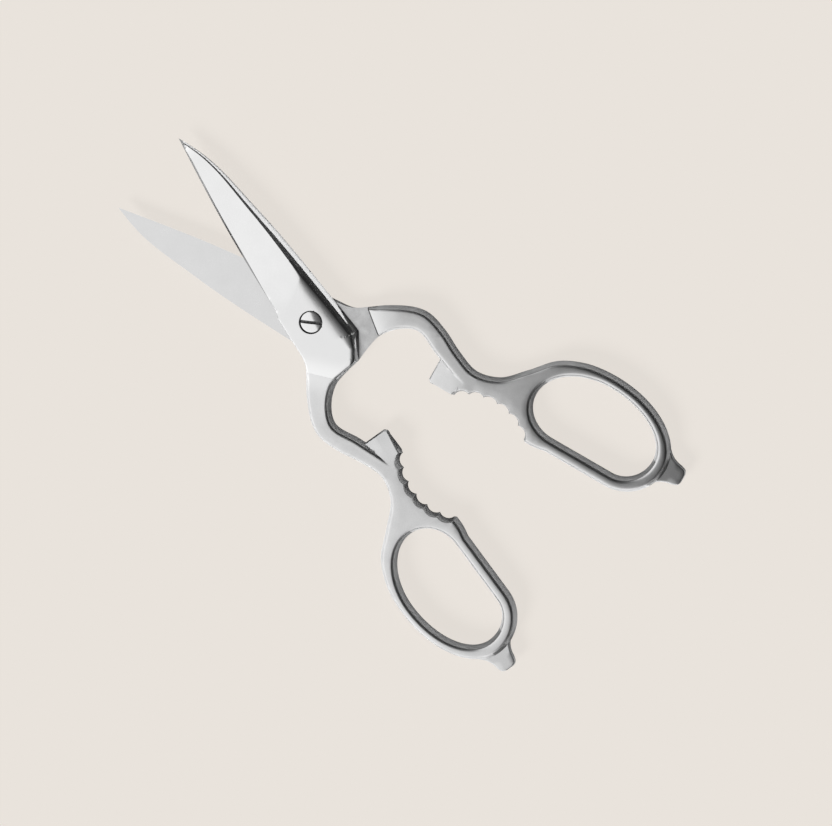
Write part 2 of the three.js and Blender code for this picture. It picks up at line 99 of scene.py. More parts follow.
def spline(points: Sequence[Point], spacing: float, end: Optional[Point] = None) -> Array:
    """Draws a smooth curve through points.

    Args:
        points: Points that the curve passes through.
        spacing: Longest step along it in millimetres.
        end: Direction in which the curve arrives, where it is given.

    Returns:
        Even points along the curve.
    """
    knots = np.array(points, float)
    spans = np.linalg.norm(np.diff(knots, axis=0), axis=1)[:, None]
    slopes = np.diff(knots, axis=0) / spans
    inner = (slopes[:-1] * spans[1:] + slopes[1:] * spans[:-1]) / (spans[:-1] + spans[1:])
    first = 1.5 * slopes[0] - 0.5 * inner[0]
    last = 1.5 * slopes[-1] - 0.5 * inner[-1] if end is None else np.array(end)
    tangents = np.concatenate([[first], inner, [last]])
    t = np.linspace(0.0, 1.0, SPLINE_STEPS)[:, None]
    dense: List[Array] = []
    for i, span in enumerate(spans):
        leave, arrive = tangents[i] * span, tangents[i + 1] * span
        cubic = (2 * knots[i] - 2 * knots[i + 1] + leave + arrive) * t**3
        square = (-3 * knots[i] + 3 * knots[i + 1] - 2 * leave - arrive) * t**2
        dense.append(cubic + square + leave * t + knots[i])
    return evenly(chain(*dense), spacing)


def oval(centre: Point, radii: Point, start: float, end: float, spacing: float) -> Array:
    """Draws part of an ellipse whose axes lie along X and Y.

    Args:
        centre: Middle of the ellipse.
        radii: Half widths along X and Y.
        start: First angle in degrees.
        end: Last angle in degrees.
        spacing: Longest step along it in millimetres.

    Returns:
        Even points along the arc.
    """
    t = np.radians(np.linspace(start, end, OVAL_STEPS))
    dense = np.stack([centre[0] + radii[0] * np.cos(t), centre[1] + radii[1] * np.sin(t)], axis=1)
    return evenly(dense, spacing)


def chain(*lines: Array) -> Array:
    """Joins polylines end to end and drops the doubled points.

    Args:
        *lines: Polylines in order.

    Returns:
        One polyline.
    """
    joined = np.concatenate([np.asarray(line, float) for line in lines])
    keep = np.concatenate([[True], np.linalg.norm(np.diff(joined, axis=0), axis=1) > SAME_PLACE])
    return joined[keep]


def nearest(points: Array, lines: Sequence[Array]) -> Tuple[Array, Array]:
    """Finds the nearest place on a set of polylines.

    Args:
        points: Points to measure from.
        lines: Polylines to measure to.

    Returns:
        The distance of each point, and the X and Y of its nearest place.
    """
    start = np.concatenate([line[:-1] for line in lines])
    step = np.concatenate([np.diff(line, axis=0) for line in lines])
    square = np.maximum((step**2).sum(axis=1), NO_LENGTH)
    distance = np.empty(len(points))
    foot = np.empty((len(points), 2))
    for low in range(0, len(points), BATCH):
        some = points[low:low + BATCH]
        away_x = some[:, :1] - start[:, 0]
        away_y = some[:, 1:] - start[:, 1]
        share = np.clip((away_x * step[:, 0] + away_y * step[:, 1]) / square, 0.0, 1.0)
        gap = (away_x - share * step[:, 0]) ** 2 + (away_y - share * step[:, 1]) ** 2
        best = gap.argmin(axis=1)
        row = np.arange(len(some))
        distance[low:low + BATCH] = np.sqrt(gap[row, best])
        foot[low:low + BATCH] = start[best] + share[row, best][:, None] * step[best]
    return distance, foot


def inside(points: Array, loop: Array) -> Array:
    """Tells which points lie inside a closed loop.

    Args:
        points: Points to test.
        loop: Corners of the loop in order.

    Returns:
        One truth value for each point.
    """
    found = np.zeros(len(points), bool)
    ends = np.roll(loop, -1, axis=0)
    x, y = points[:, 0], points[:, 1]
    for (ax, ay), (bx, by) in zip(loop, ends):
        if ay == by:
            continue
        crosses = (ay > y) != (by > y)
        found ^= crosses & (x < (bx - ax) * (y - ay) / (by - ay) + ax)
    return found


def away(points: Array, centre: Sequence[float]) -> Array:
    """Distances of points from a place."""
    return np.hypot(points[:, 0] - centre[0], points[:, 1] - centre[1])


def beside(points: Array, start: Point, end: Point) -> Array:
    """Signed distances of points from the line through two places, positive on its right."""
    along = (np.array(end) - np.array(start)) / math.dist(start, end)
    return (points - np.array(start)) @ np.array([along[1], -along[0]])


def soft_min(a: Array, b: Array, width: Union[Array, float]) -> Array:
    """Takes the lower of two heights and rounds the corner between them.

    Args:
        a: First heights.
        b: Second heights.
        width: Height difference over which the corner is rounded.

    Returns:
        The lower heights with a rounded corner.
    """
    share = np.maximum(width - np.abs(a - b), 0.0) / width
    return np.minimum(a, b) - share**2 * width / 4


def soft_max(a: Array, b: Array, width: Union[Array, float]) -> Array:
    """Takes the higher of two heights and rounds the corner, as soft_min does."""
    return -soft_min(-a, -b, width)


@dataclass(frozen=True)
class EdgeProfile:
    """Section of an edge: a wall that leans in, a round, then the flat."""

    height: Array
    radius: Array
    lean: Union[Array, float]
    bend_share: float = 0.49

    @property
    def _bend(self) -> Array:
        """Radius of the round where the flat is high enough for it."""
        return np.minimum(self.radius, self.bend_share * self.height)

    @property
    def foot(self) -> Array:
        """Distance from the edge at which the wall meets the round."""
        turn = np.radians(self.lean)
        return (self.height - self._bend * (1.0 - np.sin(turn))) * np.tan(turn)

    @property
    def centre(self) -> Array:
        """Distance from the edge at which the flat starts."""
        return self.foot + self._bend * np.cos(np.radians(self.lean))

    def rows(self, count: int) -> List[Array]:
        """Distances at which the round is cut into even steps."""
        last = np.pi / 2 - np.radians(self.lean)
        return [self.centre - self._bend * np.sin(last * share) for share in np.linspace(1.0, 0.0, count)]

    def at(self, distance: Array) -> Array:
        """Gives the height of the section at distances from the edge.

        Args:
            distance: Distances from the edge.

        Returns:
            One height for each distance.
        """
        inward = np.clip(self.centre - distance, 0.0, self._bend)
        arc = self.height - self._bend + np.sqrt(self._bend**2 - inward**2)
        return np.where(distance < self.foot, distance / np.tan(np.radians(self.lean)), arc)


def ease(x: Array, low: float, high: float) -> Array:
    """Climbs smoothly from 0 at low to 1 at high."""
    t = np.clip((x - low) / (high - low), 0.0, 1.0)
    return t * t * (3 - 2 * t)


# The forging that both halves share


@dataclass(frozen=True)
class BladeSizes:
    """Sizes of the blade in millimetres."""

    length: float = 79.0
    tip_thickness: float = 1.0
    mid_thickness: float = 3.1
    mid_edge: float = 5.45
    mid_back: float = 7.6
    shoulder: Point = (70.0, -3.5)
    heel: Point = (8.9, 8.9)
    bevel_width: float = 0.9
    bevel_height: float = 1.1
    bevel_fade: float = 9.0
    least_fade: float = 0.02
    least_width: float = 0.01
    heel_height: float = 3.5
    heel_fade: float = 34.0
    heel_climb: float = 3.0
    runout_centre: Point = (17.0, 3.6)
    runout_radius: float = 9.2
    runout_length: float = 20.0
    runout_turn: Point = (150.0, 262.0)
    plate_reach: Point = (11.0, 18.0)
    ground_from: float = 4.0

    @property
    def middle(self) -> float:
        """Reach of the station half way along the cutting edge."""
        return (self.heel[0] + self.length) / 2


@dataclass(frozen=True)
class JointSizes:
    """Sizes of the joint plate in millimetres."""

    thickness: float = 4.5
    back: float = 10.5
    front: float = 9.6
    corner: Point = (-12.4, -11.0)
    end: Point = (-20.8, -4.7)
    neck_outer: Point = (-10.6, 11.35)
    neck_inner: Point = (-21.5, 0.9)
    step_outer: Point = (-14.6, 14.05)
    step_inner: Point = (-23.0, 7.0)
    step_rise: float = 2.6
    step_ramp: float = 10.0
    step_limit: float = -14.0
    brow_width: float = 0.5
    brow_drop: float = 0.5
    back_reach: Floats = (0.0, 16.0, 23.0, 34.0, 40.0, 59.0, 79.0)
    chamfer: Floats = (1.5, 1.75, 1.6, 1.05, 0.8, 0.5, 0.26)
    draft: Floats = (1.05, 1.13, 1.13, 1.15, 1.12, 0.62, 0.16)
    corner_run: float = 4.5
    corner_loss: Triple = (0.6, 0.3, 0.7)
    end_reach: float = 0.3
    least_fade: float = 0.03
    back_limit: float = -26.0
    shaded_rim: float = 0.6
    roll_width: float = 6.0
    roll_slope: Point = (0.17, 0.38)
    roll_power: int = 10
    roll_reach: Point = (6.0, 24.0)
    least_roll: float = 0.3
    roll_rows: Floats = (0.0, 0.06, 0.13, 0.22, 0.35, 0.5, 0.75, 1.0)
    chamfer_slope: float = 0.9
    wall_slope: float = 1.54
    wall_foot: float = 0.42
    wall_share: float = 0.8
    dish: float = 0.15
    crease_outer: Point = (-12.7, 12.4)
    crease_inner: Point = (-20.8, 5.2)
    crease_runout: float = 4.0
    crease_fall: float = 16.0


@dataclass(frozen=True)
class ArmSizes:
    """Sizes of the arm in millimetres."""

    half_thickness: float = 3.6
    outer: Points = (
        (-20.2, 18.05), (-34.0, 23.2), (-42.5, 20.6), (-50.0, 16.7), (-59.02, 13.65),
        (-66.52, 15.7), (-74.02, 23.0), (-82.02, 31.6), (-89.95, 35.34),
    )
    inner: Points = ((-25.0, 10.0), (-33.6, 15.45), (-43.1, 11.7))
    rounding_reach: Floats = (-92.0, -82.0, -66.0, -20.0, -10.0, 0.0)
    rounding: Floats = (1.3, 1.25, 1.25, 1.2, 0.8, 0.5)
    lean: Point = (16.5, 3.0)
    lean_reach: Point = (0.0, 9.0)
    lap_lean_reach: Point = (-3.5, -0.3)
    crown: Floats = (0.4, 0.2, 0.05, 0.05, 0.0, 0.0)
    crown_width: float = 3.2


@dataclass(frozen=True)
class HookSizes:
    """Sizes of the bottle-opener hook in millimetres."""

    free: float = -45.5
    inner: float = -55.4
    edge: float = 1.7
    root: float = 6.8
    top: float = 12.0
    behind: Point = (-60.0, 2.0)
    tip_cut: float = 0.9
    tip_half: float = 1.4
    ramp: float = 8.2
    ramp_ease: float = 1.2
    tilt: float = 0.09
    rounding: float = 0.35
    lean: float = 8.0


@dataclass(frozen=True)
class GripSizes:
    """Sizes of the scalloped lid grip in millimetres."""

    centre: Point = (-69.6, -14.5)
    radius: float = 21.5
    count: int = 6
    scallop: float = 3.2
    depth: float = 1.35
    draft: float = 0.95
    shaded_share: float = 0.8
    rim: float = 1.3
    row_turn: float = 2.5
    row_shares: Floats = (0.25, 0.5, 0.7, 0.85, 1.0, 1.2)
    cusp_length: float = 1.4
    cusp_points: int = 7

    @property
    def pitch(self) -> float:
        """Angle between two scallops."""
        chord = math.sqrt(2 * self.scallop * self.depth - self.depth**2)
        return 2 * math.asin(chord / self.radius)

    @property
    def _middle_turn(self) -> float:
        """Direction of the row's middle, set a little towards the bow."""
        return math.radians(90.0 + self.row_turn)

    def centres(self) -> Array:
        """Works out where the scallops' middles are.

        Returns:
            Their places, from the hook to the bow.
        """
        reach = self.radius * math.cos(self.pitch / 2) - (self.scallop - self.depth)
        turn = self._middle_turn + (np.arange(self.count) - (self.count - 1) / 2) * self.pitch
        return np.array(self.centre) + reach * np.stack([np.cos(turn), np.sin(turn)], axis=1)

    def cusps(self) -> Array:
        """Points between the scallops and at both ends of the row."""
        turn = self._middle_turn + (np.arange(self.count + 1) - self.count / 2) * self.pitch
        return np.array(self.centre) + self.radius * np.stack([np.cos(turn), np.sin(turn)], axis=1)

    def on_shaded_wall(self, points: Array) -> Array:
        """Tells which places in the plan lie on the lower wall of a scallop, which is given painted shade."""
        least = np.min([away(points, centre) for centre in self.centres()], axis=0)
        return least - self.scallop < self.shaded_share * self.draft

    def arcs(self, spacing: float) -> Array:
        """Draws the row of scallops from the bow to the hook.

        Args:
            spacing: Longest step along it in millimetres.

        Returns:
            Points along the scallops.
        """
        cusps, drawn = self.cusps(), []
        for i, centre in reversed(list(enumerate(self.centres()))):
            start, end = (math.degrees(math.atan2(*(cusps[j] - centre)[::-1])) for j in (i + 1, i))
            drawn.append(oval(centre, (self.scallop,) * 2, start % 360, end, spacing))
        return chain(*drawn)


@dataclass(frozen=True)
class BowSizes:
    """Sizes of the finger bow in millimetres."""

    middle: float = 17.2
    crown: Point = (-102.02, 36.95)
    far: float = -132.92
    flat: float = 0.95
    flat_near: float = -93.02
    flat_far: float = -117.02
    stop: float = 0.15
    stop_near: float = -86.12
    stop_far: float = -88.42
    hole_near: float = -80.72
    hole_far: float = -127.32
    hole_flat: float = 6.35
    hole_crown: float = 32.35


@dataclass(frozen=True)
class TabSizes:
    """Sizes of the screwdriver tab in millimetres."""

    side: Points = (
        (-129.7, 8.4), (-131.5, 6.4), (-133.2, 5.0), (-135.4, 4.05),
        (-137.8, 3.5), (-138.95, 2.95), (-139.5, 2.0), (-139.65, 0.9),
    )
    half_thickness: float = 1.5
    rounding: float = 0.5
    lean: float = 8.0
    fillet: float = 2.2
    overlap: float = 2.5


@dataclass(frozen=True)
class BoreSizes:
    """Radii and depths of the screw's holes in millimetres."""

    running: float = 2.58
    seat: float = 4.15
    seat_height: float = 2.3
    seat_edge: float = 0.18
    sink: float = 3.45
    sink_slope: float = 1.1
    rim_reach: float = 0.2
    sides: int = 72


@dataclass(frozen=True)
class MeshSizes:
    """Steps and clearances of the plan mesh in millimetres."""

    outline: float = 0.45
    hook: float = 0.35
    detail: float = 0.3
    crease: float = 0.6
    step: float = 0.5
    coarse: float = 1.5
    fine: float = 0.7
    fold: float = 0.4
    stations: Floats = (-141.0, -60.0, -42.0, -26.0, 18.0, 79.0)
    rows: Point = (-14.0, 40.0)
    row_pitch: float = 0.866
    grid_clearance: float = 0.45
    row_clearance: float = 0.93
    round_rows: int = 7
    fitting_rows: int = 4
    neck_points: int = 4
    back_points: int = 12
    least_round: float = 0.02


class Zone(Enum):
    """Finish zones of a forging, in the order of its material slots."""

    HANDLE = 0
    JOINT = 1
    BLADE = 2
    LAP = 3
    BEARING = 4
    # Painted shade on the cutting bevel.
    EDGE = 5
    # Painted shade in the bores, the counterbore and the groove at the step.
    SHADED_RECESS = 6
    # Painted shade on steep walls that face away from the bright side.
    SHADED_FLANK = 7


@dataclass
class ForgingPlan:
    """Plan and heights of the forging, shared by both halves.

    The plan is a triangle mesh in X and Y. The outer face and the lap side are heights over it.
    """

    blade: BladeSizes = field(default_factory=BladeSizes)
    joint: JointSizes = field(default_factory=JointSizes)
    arm: ArmSizes = field(default_factory=ArmSizes)
    hook: HookSizes = field(default_factory=HookSizes)
    grip: GripSizes = field(default_factory=GripSizes)
    bow: BowSizes = field(default_factory=BowSizes)
    tab: TabSizes = field(default_factory=TabSizes)
    bore: BoreSizes = field(default_factory=BoreSizes)
    mesh: MeshSizes = field(default_factory=MeshSizes)

    def __post_init__(self) -> None:
        """Draws the outline and the plan mesh."""
        self._draw_body()
        self._draw_bow()
        self._draw_fittings()
        self._mesh_plan()

    def _draw_body(self) -> None:
        """Draws the edges of the blade, the joint plate and the arm."""
        blade, joint, arm, step = self.blade, self.joint, self.arm, self.mesh.outline
        tip = (blade.length, 0.0)
        back = [tip, blade.shoulder, (blade.middle, -blade.mid_back), (0.0, -joint.back), joint.corner]
        inner = [joint.end, joint.neck_inner, joint.step_inner, *arm.inner, (self.hook.inner, self.hook.root)]
        outer = [blade.heel, (0.0, joint.front), joint.neck_outer, joint.step_outer, *arm.outer]
        self.edge = spline([tip, (blade.middle, blade.mid_edge), blade.heel], step)
        self.back = spline(back, step)
        self.plate_end = straight(joint.corner, joint.end, step)
        self.inner = spline(inner, step)
        self.outer = spline([*outer, self.bow.crown], step, end=(-1.0, 0.0))

    def _draw_bow(self) -> None:
        """Draws the bow's outer edge, its run-out into the lid grip and the finger hole."""
        bow, grip, step = self.bow, self.grip, self.mesh.outline
        crown, far, near = ((x, bow.middle) for x in (bow.crown[0], bow.flat_far, bow.flat_near))
        half = math.degrees(grip.pitch * grip.count / 2) + grip.row_turn
        foot = math.degrees(math.acos((bow.stop - grip.centre[1]) / grip.radius))
        self.bow_edge = chain(
            oval(crown, (bow.crown[0] - bow.far, bow.crown[1] - bow.middle), 90, 180, step),
            oval(far, (bow.flat_far - bow.far, bow.middle - bow.flat), 180, 270, step),
            straight((bow.flat_far, bow.flat), (bow.flat_near, bow.flat), step),
            spline([(bow.flat_near, bow.flat), (bow.stop_far, bow.stop), (bow.stop_near, bow.stop)], step),
            oval(grip.centre, (grip.radius,) * 2, 90 + foot, 90 + half, step / 2),
        )
        drop, rise = bow.middle - bow.hole_flat, bow.hole_crown - bow.middle
        self.hole = chain(
            oval(near, (bow.hole_near - bow.flat_near, drop), 0, -90, step),
            straight((bow.flat_near, bow.hole_flat), (bow.flat_far, bow.hole_flat), step),
            oval(far, (bow.flat_far - bow.hole_far, drop), -90, -180, step),
            oval(crown, (bow.crown[0] - bow.hole_far, rise), 180, 90, step),
            oval(crown, (bow.hole_near - bow.crown[0], rise), 90, 0, step),
        )

    def _draw_fittings(self) -> None:
        """Draws the lid grip, the hook and the tab, then gathers the loops and the kinds of edge."""
        hook, mesh = self.hook, self.mesh
        self.scallops = self.grip.arcs(mesh.detail)
        self.hook_edge = chain(
            straight((hook.free, hook.top), (hook.free, hook.edge + hook.tip_cut), mesh.hook),
            straight((hook.free - hook.tip_cut, hook.edge), tuple(self.grip.cusps()[0]), mesh.hook),
        )
        self.hook_loop = chain(self.hook_edge, np.array([hook.behind, (hook.behind[0], hook.top)]))
        side = spline(self.tab.side, mesh.detail)
        self.tab_edge = chain(side, side[::-1] * np.array([1.0, -1.0])) + np.array([0.0, self.bow.middle])
        self.body_loop = chain(self.outer, self.bow_edge, self.scallops, self.inner[::-1],
                               self.plate_end[::-1], self.back[::-1], self.edge)
        self.rounded = [self.outer, self.bow_edge, self.hole, self.inner[mesh.neck_points:]]
        self.backed = [self.back, self.plate_end, self.inner[:mesh.back_points]]

    # Heights

    def step_side(self, points: Array) -> Array:
        """Distance from the step of the lap face, positive towards the pivot."""
        return beside(points, self.joint.step_inner, self.joint.step_outer)

    def crease_side(self, points: Array) -> Array:
        """Distance from the crease of the outer face, positive towards the pivot."""
        return beside(points, self.joint.crease_inner, self.joint.crease_outer)

    def _solid(self, points: Array) -> Array:
        """Tells which places in the plan lie inside the forging.

        Args:
            points: Places in the plan.

        Returns:
            One truth value for each place.
        """
        found = inside(points, self.body_loop) & ~inside(points, self.hole)
        found |= inside(points, self.hook_loop) & (points[:, 0] > self.grip.cusps()[0, 0])
        found |= inside(points, self.tab_edge) & (points[:, 0] < self.bow.far + self.tab.overlap)
        return found

    def _plate_height(self, points: Array) -> Array:
        """Height of the dished joint plate, its crease and the long fall to the arm.

        Args:
            points: Places in the plan.

        Returns:
            Heights above the lap face.
        """
        joint = self.joint
        past = self.crease_side(points)
        climb = np.clip(1.0 - past / joint.crease_runout, 0.0, 1.0) ** 2
        plate = joint.thickness - joint.dish * (1.0 - climb)
        fall = (joint.thickness - self.arm.half_thickness) * ease(-past, 0.0, joint.crease_fall)
        return np.where(past > 0, plate, joint.thickness - fall)

    def _back_sizes(self, places: Array) -> Tuple[Array, Array, Array, Array]:
        """Sizes of the section along the back of the blade and the joint plate.

        Args:
            places: Places along the back.

        Returns:
            Thickness, chamfer, draft and roll at each place.
        """
        blade, joint = self.blade, self.joint
        x = places[:, 0]
        neck = np.where(x < joint.end[0] + joint.end_reach, joint.neck_inner[1] - places[:, 1], np.inf)
        fade = np.clip(neck / (joint.neck_inner[1] - joint.end[1]), joint.least_fade, 1.0)
        past = np.clip((joint.corner[0] - x) / joint.corner_run, 0.0, 1.0)
        chamfer_left, draft_left, roll_left = (1.0 - loss * past for loss in joint.corner_loss)
        stations = (blade.heel[0], blade.middle, blade.length)
        thickness = np.interp(x, stations, (joint.thickness, blade.mid_thickness, blade.tip_thickness))
        chamfer = np.interp(x, joint.back_reach, joint.chamfer) * chamfer_left * fade
        draft = np.interp(x, joint.back_reach, joint.draft) * draft_left * fade
        roll = joint.roll_width * (1.0 - ease(x, *joint.roll_reach)) * roll_left * fade
        return thickness, chamfer, draft, roll

    def _edge_sizes(self, x: Array) -> Tuple[Array, Array]:
        """Sizes of the bevel along the cutting edge.

        Args:
            x: Reaches along the blade.

        Returns:
            Width and height of the bevel at each reach.
        """
        blade = self.blade
        fade = np.clip((blade.length - x) / blade.bevel_fade, blade.least_fade, 1.0)
        rise = (blade.heel_height - blade.bevel_height) * (1.0 - ease(x, blade.heel[0], blade.heel_fade))
        return blade.bevel_width * fade, (blade.bevel_height + rise) * fade

    def _ground_height(self, points: Array, edge: Array, back: Array) -> Array:
        """Height of the ground outer face of the blade, with its run-out at the joint plate.

        Args:
            points: Places in the plan.
            edge: Their distances from the cutting edge.
            back: Their distances from the back.

        Returns:
            Heights above the lap face.
        """
        blade, x = self.blade, points[:, 0]
        thickness, chamfer, draft, _ = self._back_sizes(points)
        width, low = self._edge_sizes(x)
        past_edge = edge - width
        past_back = np.maximum(back - chamfer - draft, 0.0)
        run = np.clip(past_edge / np.maximum(past_edge + past_back, blade.least_width), 0.0, 1.0)
        ground = low + (thickness - low) * run
        inward = blade.runout_radius - away(points, blade.runout_centre)
        climb = np.clip(1.0 - inward / blade.runout_length, 0.0, 1.0) ** 2
        climb = climb * (1.0 - ease(x, *blade.plate_reach))
        return ground + np.maximum(self.joint.thickness - ground, 0.0) * climb

    def _edge_profile(self, places: Array, height: Array, reach: Point) -> EdgeProfile:
        """Section of the rounded edge at places along it.

        Args:
            places: Places on the edge.
            height: Height of the flat beside each place.
            reach: Distances from the step between which the wall turns from leaning to upright.

        Returns:
            One section for each place.
        """
        arm = self.arm
        radius = np.interp(places[:, 0], arm.rounding_reach, arm.rounding)
        return EdgeProfile(height, radius, np.interp(self.step_side(places), reach, arm.lean))

    def _rounded_height(self, points: Array, height: Array, reach: Point) -> Array:
        """Height under the rounded edges of the arm and the bow.

        Args:
            points: Places in the plan.
            height: Height of the flat at each place.
            reach: Distances from the step between which the wall turns from leaning to upright.

        Returns:
            The rounded heights.
        """
        arm = self.arm
        distance, foot = nearest(points, self.rounded)
        share = np.clip(1.0 - distance / arm.crown_width, 0.0, 1.0)
        crown = np.interp(foot[:, 0], arm.rounding_reach, arm.crown) * share**2
        return self._edge_profile(foot, height - crown, reach).at(distance)

    def _lap_plate(self, points: Array) -> Array:
        """Depth of the arm's lap side, which climbs a little from the step."""
        share = np.clip(1.0 + self.step_side(points) / self.joint.step_ramp, 0.0, 1.0)
        return self.arm.half_thickness - (self.arm.half_thickness - self.joint.step_rise) * share**2

    def _back_height(self, points: Array, face: Array) -> Array:
        """Height of a face that rolls into the chamfer and the leaning wall of the back.

        Args:
            points: Places in the plan.
            face: Height of the face at each place.

        Returns:
            The heights under the back's section.
        """
        joint = self.joint
        distance, foot = nearest(points, self.backed)
        _, chamfer, draft, roll = self._back_sizes(foot)
        gentle, steep = joint.roll_slope[0] / 2, joint.roll_slope[1] / (joint.roll_power + 1)
        top = face - roll * (gentle + steep)
        rise = top - np.minimum(chamfer * joint.chamfer_slope, top / 2)
        along = (distance - draft - chamfer) / np.maximum(roll, TOUCH)
        near = np.clip(1.0 - along, 0.0, 1.0)
        rolled = face - roll * (gentle * near**2 + steep * near ** (joint.roll_power + 1))
        leaning = rise + (top - rise) * (distance - draft) / chamfer
        foot_width = joint.wall_foot * draft
        foot_rise = rise - np.minimum((draft - foot_width) * joint.wall_slope, joint.wall_share * rise)
        upper = foot_rise + (rise - foot_rise) * (distance - foot_width) / (draft - foot_width)
        wall = np.where(distance < foot_width, foot_rise * distance / foot_width, upper)
        return np.where(distance < draft, wall, np.where(distance < draft + chamfer, leaning, rolled))

    def _fittings(self, points: Array, body: Array) -> Array:
        """Adds the hook and the tab to a body height, then cuts the scallops.

        Args:
            points: Places in the plan.
            body: Height of the body at each place.

        Returns:
            The finished heights.
        """
        hook, tab, grip = self.hook, self.tab, self.grip
        full = np.full(len(points), self.arm.half_thickness)
        ramp = hook.tip_half + (full - hook.tip_half) * (hook.free - points[:, 0]) / hook.ramp
        ramp = np.maximum(soft_min(ramp, full, hook.ramp_ease), hook.tip_half / 2)
        outward = np.clip((points[:, 0] - hook.inner) / (hook.free - hook.inner), 0.0, 1.0)
        ramp = ramp - hook.tilt * outward * np.clip(hook.root - points[:, 1], 0.0, hook.root - hook.edge)
        thick = np.full(len(points), tab.half_thickness)
        added = []
        for size, top, line, loop in ((hook, ramp, self.hook_edge, self.hook_loop),
                                      (tab, thick, self.tab_edge, self.tab_edge)):
            section = EdgeProfile(top, np.float64(size.rounding), size.lean)
            added.append(np.where(inside(points, loop), section.at(nearest(points, [line])[0]), 0.0))
        horn, leaf = added
        least = self.mesh.least_round
        height = soft_max(np.maximum(body, horn), leaf, np.clip(np.minimum(body, leaf), least, tab.fillet))
        slope = self.arm.half_thickness / grip.draft
        for centre in grip.centres():
            wall = np.maximum(away(points, centre) - grip.scallop, 0.0) * slope
            height = soft_min(height, wall, np.clip(np.minimum(height, wall), least, grip.rim))
        return np.maximum(height, 0.0)

    def outer_height(self, points: Array) -> Array:
        """Height of the outer face over the plan.

        Args:
            points: Places in the plan.

        Returns:
            Heights in millimetres above the lap face.
        """
        blade, joint, x = self.blade, self.joint, points[:, 0]
        plate = self._plate_height(points)
        edge, foot = nearest(points, [self.edge])
        back, _ = nearest(points, [self.back])
        ground = self._ground_height(points, edge, back)
        face = np.where(x > blade.ground_from, np.minimum(plate, ground), plate)
        face = np.where(x > joint.back_limit, self._back_height(points, face), face)
        width, low = self._edge_sizes(foot[:, 0])
        climb = np.clip(1.0 - (foot[:, 0] - blade.heel[0]) / blade.heel_climb, 0.0, 1.0) ** 2
        face = np.minimum(face, edge / width * (low + (joint.thickness - low) * climb))
        face = np.minimum(face, self._rounded_height(points, plate, self.arm.lean_reach))
        return self._fittings(points, np.where(inside(points, self.body_loop), face, 0.0))

    def lap_depth(self, points: Array) -> Array:
        """Depth of the handle's lap side below the parting plane.

        Args:
            points: Places in the plan.

        Returns:
            Depths in millimetres, for use on the handle's side of the step.
        """
        joint = self.joint
        rounded = self._rounded_height(points, self._lap_plate(points), self.arm.lap_lean_reach)
        brow = joint.brow_drop * np.clip(1.0 + self.step_side(points) / joint.brow_width, 0.0, 1.0)
        rounded = np.maximum(rounded - brow, 0.0)
        return self._fittings(points, np.where(inside(points, self.body_loop), rounded, 0.0))

    # Plan mesh

    def _row(self, line: Array, offset: Array, against: Sequence[Array]) -> List[Array]:
        """Draws a line beside another one, inside the forging.

        Args:
            line: The line to follow.
            offset: Distance from it at each of its points.
            against: Lines that the new one has to stay as far from.

        Returns:
            The pieces of the new line that keep their distance.
        """
        tangent = np.gradient(line, axis=0)
        normal = np.stack([-tangent[:, 1], tangent[:, 0]], axis=1)
        normal /= np.maximum(np.linalg.norm(normal, axis=1, keepdims=True), TINY)
        pieces: List[Array] = []
        for side in (1.0, -1.0):
            moved = line + side * offset[:, None] * normal
            keep = self._solid(moved) & (nearest(moved, against)[0] > self.mesh.row_clearance * offset)
            cuts = np.where(np.diff(keep.astype(int)) != 0)[0] + 1
            runs = zip(np.split(moved, cuts), np.split(keep, cuts))
            pieces += [run for run, kept in runs if kept[0] and len(run) > 1]
        return pieces

    def _handle_rows(self) -> List[Array]:
        """Draws the lines beside the edges of the handle.

        Returns:
            Lines with a smooth surface across them.
        """
        arm, hook, tab, joint, mesh = self.arm, self.hook, self.tab, self.joint, self.mesh
        smooth: List[Array] = []
        for line in self.rounded:
            section = self._edge_profile(line, self._plate_height(line), arm.lean_reach)
            for offset in section.rows(mesh.round_rows):
                smooth += self._row(line, offset, self.rounded)
        for line in (self.outer, self.inner):
            side = self.step_side(line)
            part = line[(side < -joint.brow_width) & (side > -joint.step_ramp)]
            section = self._edge_profile(part, self._lap_plate(part), arm.lap_lean_reach)
            for offset in section.rows(mesh.fitting_rows):
                smooth += self._row(part, offset, self.rounded)
        for line, size, height in ((self.hook_edge, hook, arm.half_thickness),
                                   (self.tab_edge, tab, tab.half_thickness)):
            section = EdgeProfile(np.full(len(line), height), np.float64(size.rounding), size.lean)
            for offset in section.rows(mesh.fitting_rows):
                smooth += self._row(line, offset, [line])
        for share in self.grip.row_shares:
            depth = np.full(len(self.scallops), share * self.grip.draft)
            smooth += self._row(self.scallops, depth, [self.scallops])
        return smooth

    def _blade_rows(self) -> Tuple[List[Array], List[Array]]:
        """Draws the lines beside the edges of the blade and the joint plate.

        Returns:
            The lines with a smooth surface across them, and those with a crisp one.
        """
        joint = self.joint
        smooth: List[Array] = []
        crisp: List[Array] = []
        for line in (self.back[1:], self.plate_end):
            _, chamfer, draft, roll = self._back_sizes(line)
            smooth += self._row(line, draft * joint.wall_foot, self.backed)
            crisp += self._row(line, draft, self.backed)
            smooth += self._row(line, draft + chamfer * 0.5, self.backed)
            wide = roll > joint.least_roll
            for share in joint.roll_rows if wide.any() else ():
                smooth += self._row(line[wide], (draft + chamfer + roll * share)[wide], self.backed)
            if not wide.all():
                crisp += self._row(line[~wide], (draft + chamfer)[~wide], self.backed)
        width, _ = self._edge_sizes(self.edge[:, 0])
        crisp += self._row(self.edge[2:], width[2:], [self.edge, self.back])
        return smooth, crisp

